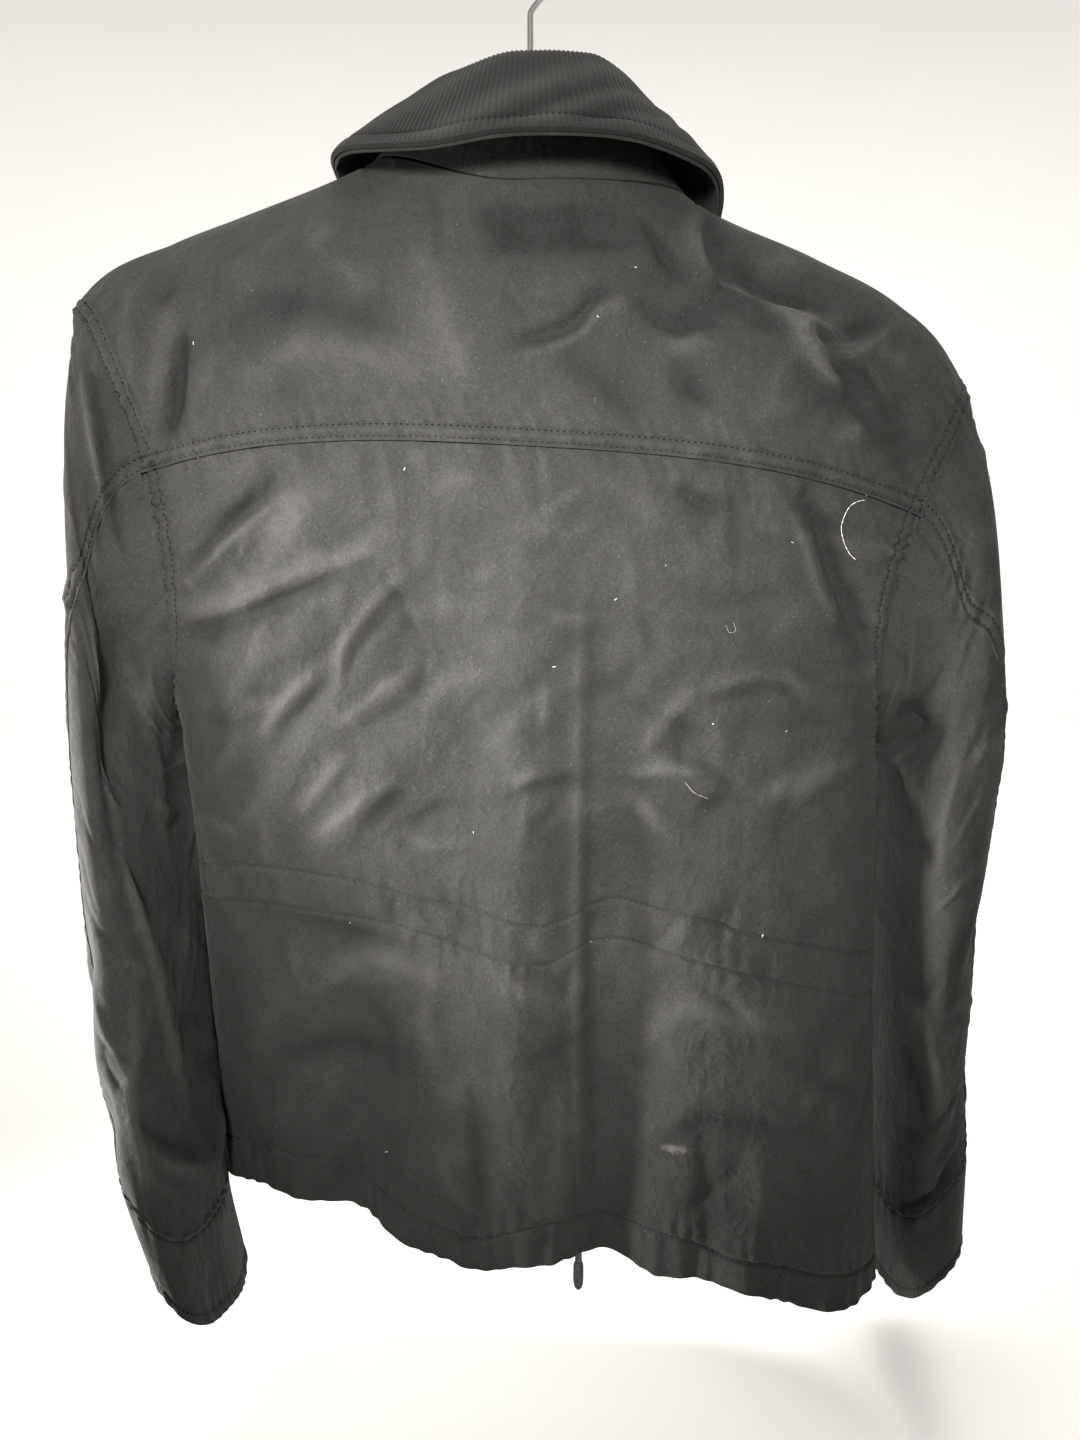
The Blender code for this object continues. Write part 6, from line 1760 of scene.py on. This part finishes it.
def buttons(material, thread):
    """Each button sits where its solid does, with four holes and two bars of thread."""
    def dents(x, y, rise):
        for sx in (-1, 1):
            for sy in (-1, 1):
                away = np.hypot(x - sx * BUTTON_HOLES_AT, y - sy * BUTTON_HOLES_AT) / BUTTON_HOLE
                rise = rise - HOLE_DEPTH * (1 - soft((away - 0.6) / 0.5))
        return rise

    for number in range(1, len(BUTTON_LEVELS) + 1):
        low, high = (np.array(corner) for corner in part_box(f"button_{number}"))
        middle = (low + high) / 2
        axis = button_axis(number)
        place = middle - axis * BUTTON_THICK / 2
        piece = turned(f"button_face_{number}", BUTTON_PROFILE, place, axis, material, dents=dents)
        dress(piece, f"button_{number}")
        x = unit(np.cross(np.array([0.0, 0.0, 1.0]), axis))
        y = np.cross(axis, x)
        lines = []
        for side in (-1, 1):
            ends = np.array([[side, -1.0], [side, 1.0]]) * BUTTON_HOLES_AT
            line = place + axis * BUTTON_THREAD_RISE + np.outer(ends[:, 0], x) + np.outer(ends[:, 1], y)
            lines.append((np.linspace(line[0], line[1], 3), np.tile(axis, (3, 1))))
        stitches(f"button_thread_{number}", lines, thread, "button", **BUTTON_THREAD)


def button_axis(number):
    """Outward direction of the front where one button sits."""
    level = BUTTON_LEVELS[number - 1]
    u = np.array([-0.004, 0.004, 0.0, 0.0])
    left, right, below, above = body_form(u, level + np.array([0.0, 0.0, 0.05, -0.05]), 1)
    facing = unit(np.cross(right - left, below - above))
    return facing * np.sign(facing[1])


# ================================================================ the front fly
def fly_sheet():
    """The double strip over the front edges, from just below the collar to the hem."""
    span = np.linspace(FLY_TOP_LEVEL, HEM, 181)
    half = np.linspace(-0.13, 0.13, 121)
    middle = len(half) // 2
    offsets = np.linspace(-PLACKET_HALF, PLACKET_HALF, 27)
    u = []
    for line in body_form(half[None, :], span[:, None], 1):
        run = along(line)
        u.append(np.interp(offsets, run - run[middle], half))
    u = np.array(u)
    points, normals = body_points(u, np.broadcast_to(span[:, None], u.shape), 1)
    down, across = run_down(points), np.broadcast_to(offsets + PLACKET_HALF, u.shape)
    side = np.minimum(across, 2 * PLACKET_HALF - across)
    lift = crease_lift(points[..., [0, 2]], FRONT_ALL) + 1.2 * furrow(side - FLY_STITCH)
    lift = lift + 0.0005 * ripple(down, 0.0115, 2.2) * np.exp(-side / 0.006)
    sheet = {"points": points, "normals": normals, "across": across, "down": down}
    # the lift is painted into the colour too: raised parts lighter as wear, stitched furrows darker as
    # painted shade
    return dressed(sheet, lift + CLOTH + SEAM_GAP, lift)


# ================================================================= the drawcord
def drawcord(braid):
    """The cord from its eyelet down as a round curve, and its tip below it."""
    down, inward = np.array(CORD_ROUTE).T[:, :, None]
    route = np.array(CORD_START) + np.array(CORD_INWARD) * inward - np.array([0, 0, 1.0]) * down
    points = curved(route, 80)
    curve = bpy.data.curves.new("drawcord_braid", "CURVE")
    curve.dimensions = "3D"
    curve.bevel_depth = CORD / 2
    curve.bevel_resolution = 5
    curve.use_fill_caps = True
    spline = curve.splines.new("POLY")
    spline.points.add(len(points) - 1)
    for knot, point in zip(spline.points, points):
        knot.co = (*point, 1.0)
    curve.materials.append(braid)
    cord = bpy.data.objects.new("drawcord_braid", curve)
    bpy.context.collection.objects.link(cord)
    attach(cord, "root")
    dress(cord, "drawcord")
    heights = np.linspace(TIP_SHAPE[0][1], TIP_SHAPE[-1][1], 24)
    radii = through(column(TIP_SHAPE, 1), column(TIP_SHAPE, 0), heights)
    radii[-3:] *= (0.95, 0.8, 0.45)
    radii[:2] *= (0.85, 0.96)
    tip = turned("drawcord_end", list(zip(radii, heights)), points[-1] + np.array([0, 0, -SEAM_GAP]),
                 (0.0, 0.0, -1.0), braid, 24)
    dress(tip, "drawcord_tip")


def eyelet(steel):
    """The rivet ring inside the casing, where its solid is."""
    low, high = (np.array(corner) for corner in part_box("cord_eyelet"))
    around = 2 * math.pi * np.arange(EYELET_SIDES)[:, None] / EYELET_SIDES
    section = 2 * math.pi * np.arange(EYELET_SECTION)[None] / EYELET_SECTION
    out = (EYELET_RADIUS + EYELET_BORE) / 2 + (EYELET_RADIUS - EYELET_BORE) / 2 * np.cos(section)
    rise = EYELET_HEIGHT / 2 * np.sin(section) + 0 * around
    ring = np.stack([out * np.cos(around), rise, out * np.sin(around)], axis=-1)
    index = np.arange(EYELET_SIDES * EYELET_SECTION).reshape(EYELET_SIDES, EYELET_SECTION)
    right, up = np.roll(index, -1, axis=0), np.roll(index, -1, axis=1)
    faces = quads(index, right, np.roll(right, -1, axis=1), up).tolist()
    piece = make_piece("cord_eyelet_ring", ((low + high) / 2 + ring).reshape(-1, 3), faces, steel)
    dress(piece, "cord_eyelet")


# ========================================================= lint, hair and thread
def seated(sheet, places, above):
    """Nearest places of the back's cloth to flat places, lifted a little."""
    flat = sheet["points"][..., [0, 2]].reshape(-1, 2)
    shown = (sheet["facing"][..., 1] < 0).ravel()
    points, facing = sheet["points"].reshape(-1, 3)[shown], sheet["facing"].reshape(-1, 3)[shown]
    flat = flat[shown]
    found = []
    for x, z in places:
        near = np.argsort(((flat - (x, z)) ** 2).sum(1))[:6]
        share = 1 / (((flat[near] - (x, z)) ** 2).sum(1) + 1e-7)
        middle = share @ points[near] / share.sum()
        found.append(np.array([x, middle[1], z]) + facing[near[0]] * above)
    return np.array(found)


def fibre(path, radius, lumps=0.0):
    """Points and faces of one thin thread along a path, thicker here and there."""
    sides, number = 5, np.arange(len(path))
    heading = unit(np.gradient(path, axis=0))
    side = unit(np.cross(heading, np.array([0.0, 1.0, 0.2])))
    up = np.cross(side, heading)
    angles = (2 * math.pi * np.arange(sides) / sides)[None, :, None]
    grow = radius * np.clip(np.minimum(number, number[::-1]) + 0.4, 0, 1)
    grow = grow * (1 + lumps * np.sin(1.9 * number) * np.sin(0.37 * number))
    ring = np.cos(angles) * side[:, None] + np.sin(angles) * up[:, None]
    points = path[:, None] + grow[:, None, None] * ring
    return points.reshape(-1, 3), tube_faces(len(path), sides)


def joined(name, parts, material):
    """One mesh of many (points, faces) parts."""
    points, faces, count = [], [], 0
    for some, their in parts:
        points.append(some)
        faces += [[corner + count for corner in face] for face in their]
        count += len(some)
    make_piece(name, np.concatenate(points), faces, material)


def caught_fluff(back, yoke, white):
    """The thread arc, the hair, the curl and the specks of lint."""
    rng = np.random.default_rng(21)
    parts = [fibre(seated(back, curved(THREAD_ARC, 48), 0.0004), 0.00013, lumps=0.75),
             fibre(seated(back, curved(HAIR, 20), 0.0003), 0.00005),
             fibre(seated(back, curved(CURL, 22), 0.0004), 0.00003)]
    for x, z in LINT:
        sheet = yoke if z > ROWS[0][1] else back
        start = seated(sheet, [(x, z)], 0.0004)[0]
        length = rng.uniform(0.0006, 0.0019)
        angle = rng.uniform(0, math.pi)
        way = np.array([math.cos(angle), -0.05, math.sin(angle)])
        bend = rng.normal(0, 0.4, 7).cumsum()[:, None] * np.array([-way[2], 0.0, way[0]]) * 0.0003
        path = start + np.linspace(-0.5, 0.5, 7)[:, None] * way * length + bend
        parts.append(fibre(path, rng.uniform(0.00010, 0.00020)))
    joined("lint", parts, white)


# ======================================================================== stage
def make_camera():
    data = bpy.data.cameras.new("camera")
    data.lens = CAMERA_LENS
    data.clip_start = 0.01
    camera = bpy.data.objects.new("camera", data)
    camera.location = CAMERA_PLACE
    camera.rotation_euler = (math.radians(90 - CAMERA_DOWN), 0, 0)
    bpy.context.collection.objects.link(camera)
    bpy.context.scene.camera = camera


def make_stage():
    """A wide pale floor that rises softly far away, so no view looks past it."""
    radius = np.linspace(0, FLOOR_RADIUS, FLOOR_RINGS)
    height = FLOOR_Z + FLOOR_RISE * soft((radius - FLOOR_FLAT) / (FLOOR_RADIUS - FLOOR_FLAT))
    angles = 2 * math.pi * np.arange(FLOOR_SIDES) / FLOOR_SIDES
    points = np.stack([np.outer(radius, np.cos(angles)), np.outer(radius, np.sin(angles)),
                       np.repeat(height[:, None], FLOOR_SIDES, 1)], axis=-1)
    nodes = Nodes("floor", 0.9)
    soft_tone = nodes.noise("object", 1.5, 2)
    nodes.colour(nodes.ramp(soft_tone, (0.3, (0.87, 0.86, 0.84)), (0.7, (0.89, 0.88, 0.86))))
    mesh = bpy.data.meshes.new("floor")
    faces = tube_faces(FLOOR_RINGS, FLOOR_SIDES, capped=False)
    mesh.from_pydata(points.reshape(-1, 3).tolist(), [], faces)
    mesh.materials.append(nodes.material)
    mesh.shade_smooth()
    floor = bpy.data.objects.new("floor", mesh)
    bpy.context.collection.objects.link(floor)


def area_light(name, place, aim, size, power, spread):
    """A round light at a place, turned to its aim and out of the camera's sight."""
    data = bpy.data.lights.new(name, "AREA")
    data.shape = "DISK"
    data.size = size
    data.energy = power
    data.color = WARM_WHITE
    data.spread = math.radians(spread)
    light = bpy.data.objects.new(name, data)
    light.visible_camera = False
    light.location = place
    way = np.array(aim, float) - np.array(place, float)
    flat = math.hypot(way[0], way[1])
    light.rotation_euler = (math.atan2(flat, -way[2]), 0, math.atan2(way[1], way[0]) - math.pi / 2)
    bpy.context.collection.objects.link(light)


def make_lights():
    world = bpy.data.worlds.new("studio")
    world.use_nodes = True
    background = world.node_tree.nodes["Background"]
    background.inputs["Color"].default_value = (*WARM_WHITE, 1.0)
    background.inputs["Strength"].default_value = WORLD_STRENGTH
    bpy.context.scene.world = world
    for row in LIGHTS:
        area_light(*row)
    bpy.context.scene.view_settings.view_transform = "Standard"


# ========================================================================= main
def cloth(name, sheet, thickness, material, node, ring=False):
    """A shell of cloth; its flat size is worked out along its grid and not used."""
    piece = shell(name, sheet, thickness, material, node, ring)
    width, length = float(np.median(sheet["across"][:, -1])), float(np.median(sheet["down"][-1]))
    width, length = round(width, 3), round(length, 3)


def main():
    make_camera()
    canvas = canvas_material()
    knit = knit_material()
    steel, wood = steel_material(), wood_material()
    dark_thread = thread_material("dark_thread", (0.0022, 0.0021, 0.0020), (0.0075, 0.0071, 0.0066))
    pale_thread = thread_material("pale_thread", (0.0025, 0.0024, 0.0022), (0.030, 0.028, 0.024))
    white = thread_material("lint_white", (0.62, 0.61, 0.58), (0.85, 0.84, 0.80))
    drawcord(braid_material())
    eyelet(steel)
    make_lights()
    make_stage()
    hanger(wood, steel)

    back, yoke = back_sheet(), yoke_sheet()
    cloth("back_panel_cloth", back, CLOTH, canvas, "back_panel")
    cloth("back_yoke_cloth", yoke, CLOTH, canvas, "back_yoke")
    fronts = {side: front_sheet(side) for side in SIDE_NAMES}
    for side, sheet in fronts.items():
        cloth(f"front_{side}_cloth", sheet, CLOTH, canvas, f"front_{side}")
    sleeves, cuffs = {}, {}
    for side in SIDE_NAMES:
        for part in ("upper", "under"):
            sleeves[side, part] = sleeve_sheet(side, part)
            name = f"sleeve_{side}_{part}"
            cloth(name + "_cloth", sleeves[side, part], CLOTH, canvas, name)
        cuffs[side] = cuff_sheet(side)
        cloth(f"cuff_{side}_cloth", cuffs[side], CLOTH, canvas, f"cuff_{side}", ring=True)
    fly, rib = fly_sheet(), collar_knit()
    cloth("front_fly_cloth", fly, CLOTH, canvas, "front_fly")
    cloth("collar_rib_knit", rib, RIB_WALL, knit, "collar_rib")
    cloth("collar_under_cloth", collar_canvas(), UNDER_WALL, canvas, "collar_under")
    buttons(button_material(), dark_thread)
    sew(back, yoke, fronts, sleeves, cuffs, fly, rib, dark_thread, pale_thread)
    caught_fluff(back, yoke, white)


def sew(back, yoke, fronts, sleeves, cuffs, fly, rib, dark, pale):
    """Every topstitched row, one joined mesh for each panel or pair."""
    def twin_rows(sheet, distances, turned_over=False):
        return [line_at(sheet, distances, wanted, turned_over) for wanted in STITCH_ROWS]

    lines = twin_rows(yoke, yoke["up"], True)
    lines += twin_rows(yoke, yoke["across"]) + twin_rows(yoke, far_side(yoke))
    stitches("stitches_yoke", lines, dark)
    stitches("stitches_waist", [row_line(back, mark) for mark in back["marks"][1:3]], pale, length=0.0021)
    stitches("stitches_hem", [row_line(back, back["marks"][3])], dark, length=0.0020)
    lines = twin_rows(back, back["across"]) + twin_rows(back, far_side(back))
    stitches("stitches_back_sides", lines, dark)
    for side, sheet in fronts.items():
        lines = [row_line(sheet, mark) for mark in sheet["marks"][1:4]]
        lines += twin_rows(sheet, sheet["across"] if side == "left" else far_side(sheet))
        stitches(f"stitches_front_{side}", lines, dark)
    for side in SIDE_NAMES:
        sheet = sleeves[side, "upper"]
        stitches(f"stitches_sleeve_{side}", twin_rows(sheet, sheet["across"]), dark)
    for side, sheet in cuffs.items():
        up = sheet["down"][-1:] - sheet["down"]
        lines = [line_at(sheet, sheet["down"], CUFF_TOP_ROW, True), line_at(sheet, up, CUFF_EDGE_ROW, True)]
        stitches(f"stitches_cuff_{side}", lines, dark)
    lines = [line_at(fly, fly["across"], wanted) for wanted in (FLY_STITCH, 2 * PLACKET_HALF - FLY_STITCH)]
    stitches("stitches_fly", lines, dark)
    stitches("stitches_collar", [line_at(rib, rib["up"], COLLAR_STITCH, True)], dark, "rib_knit")


main()
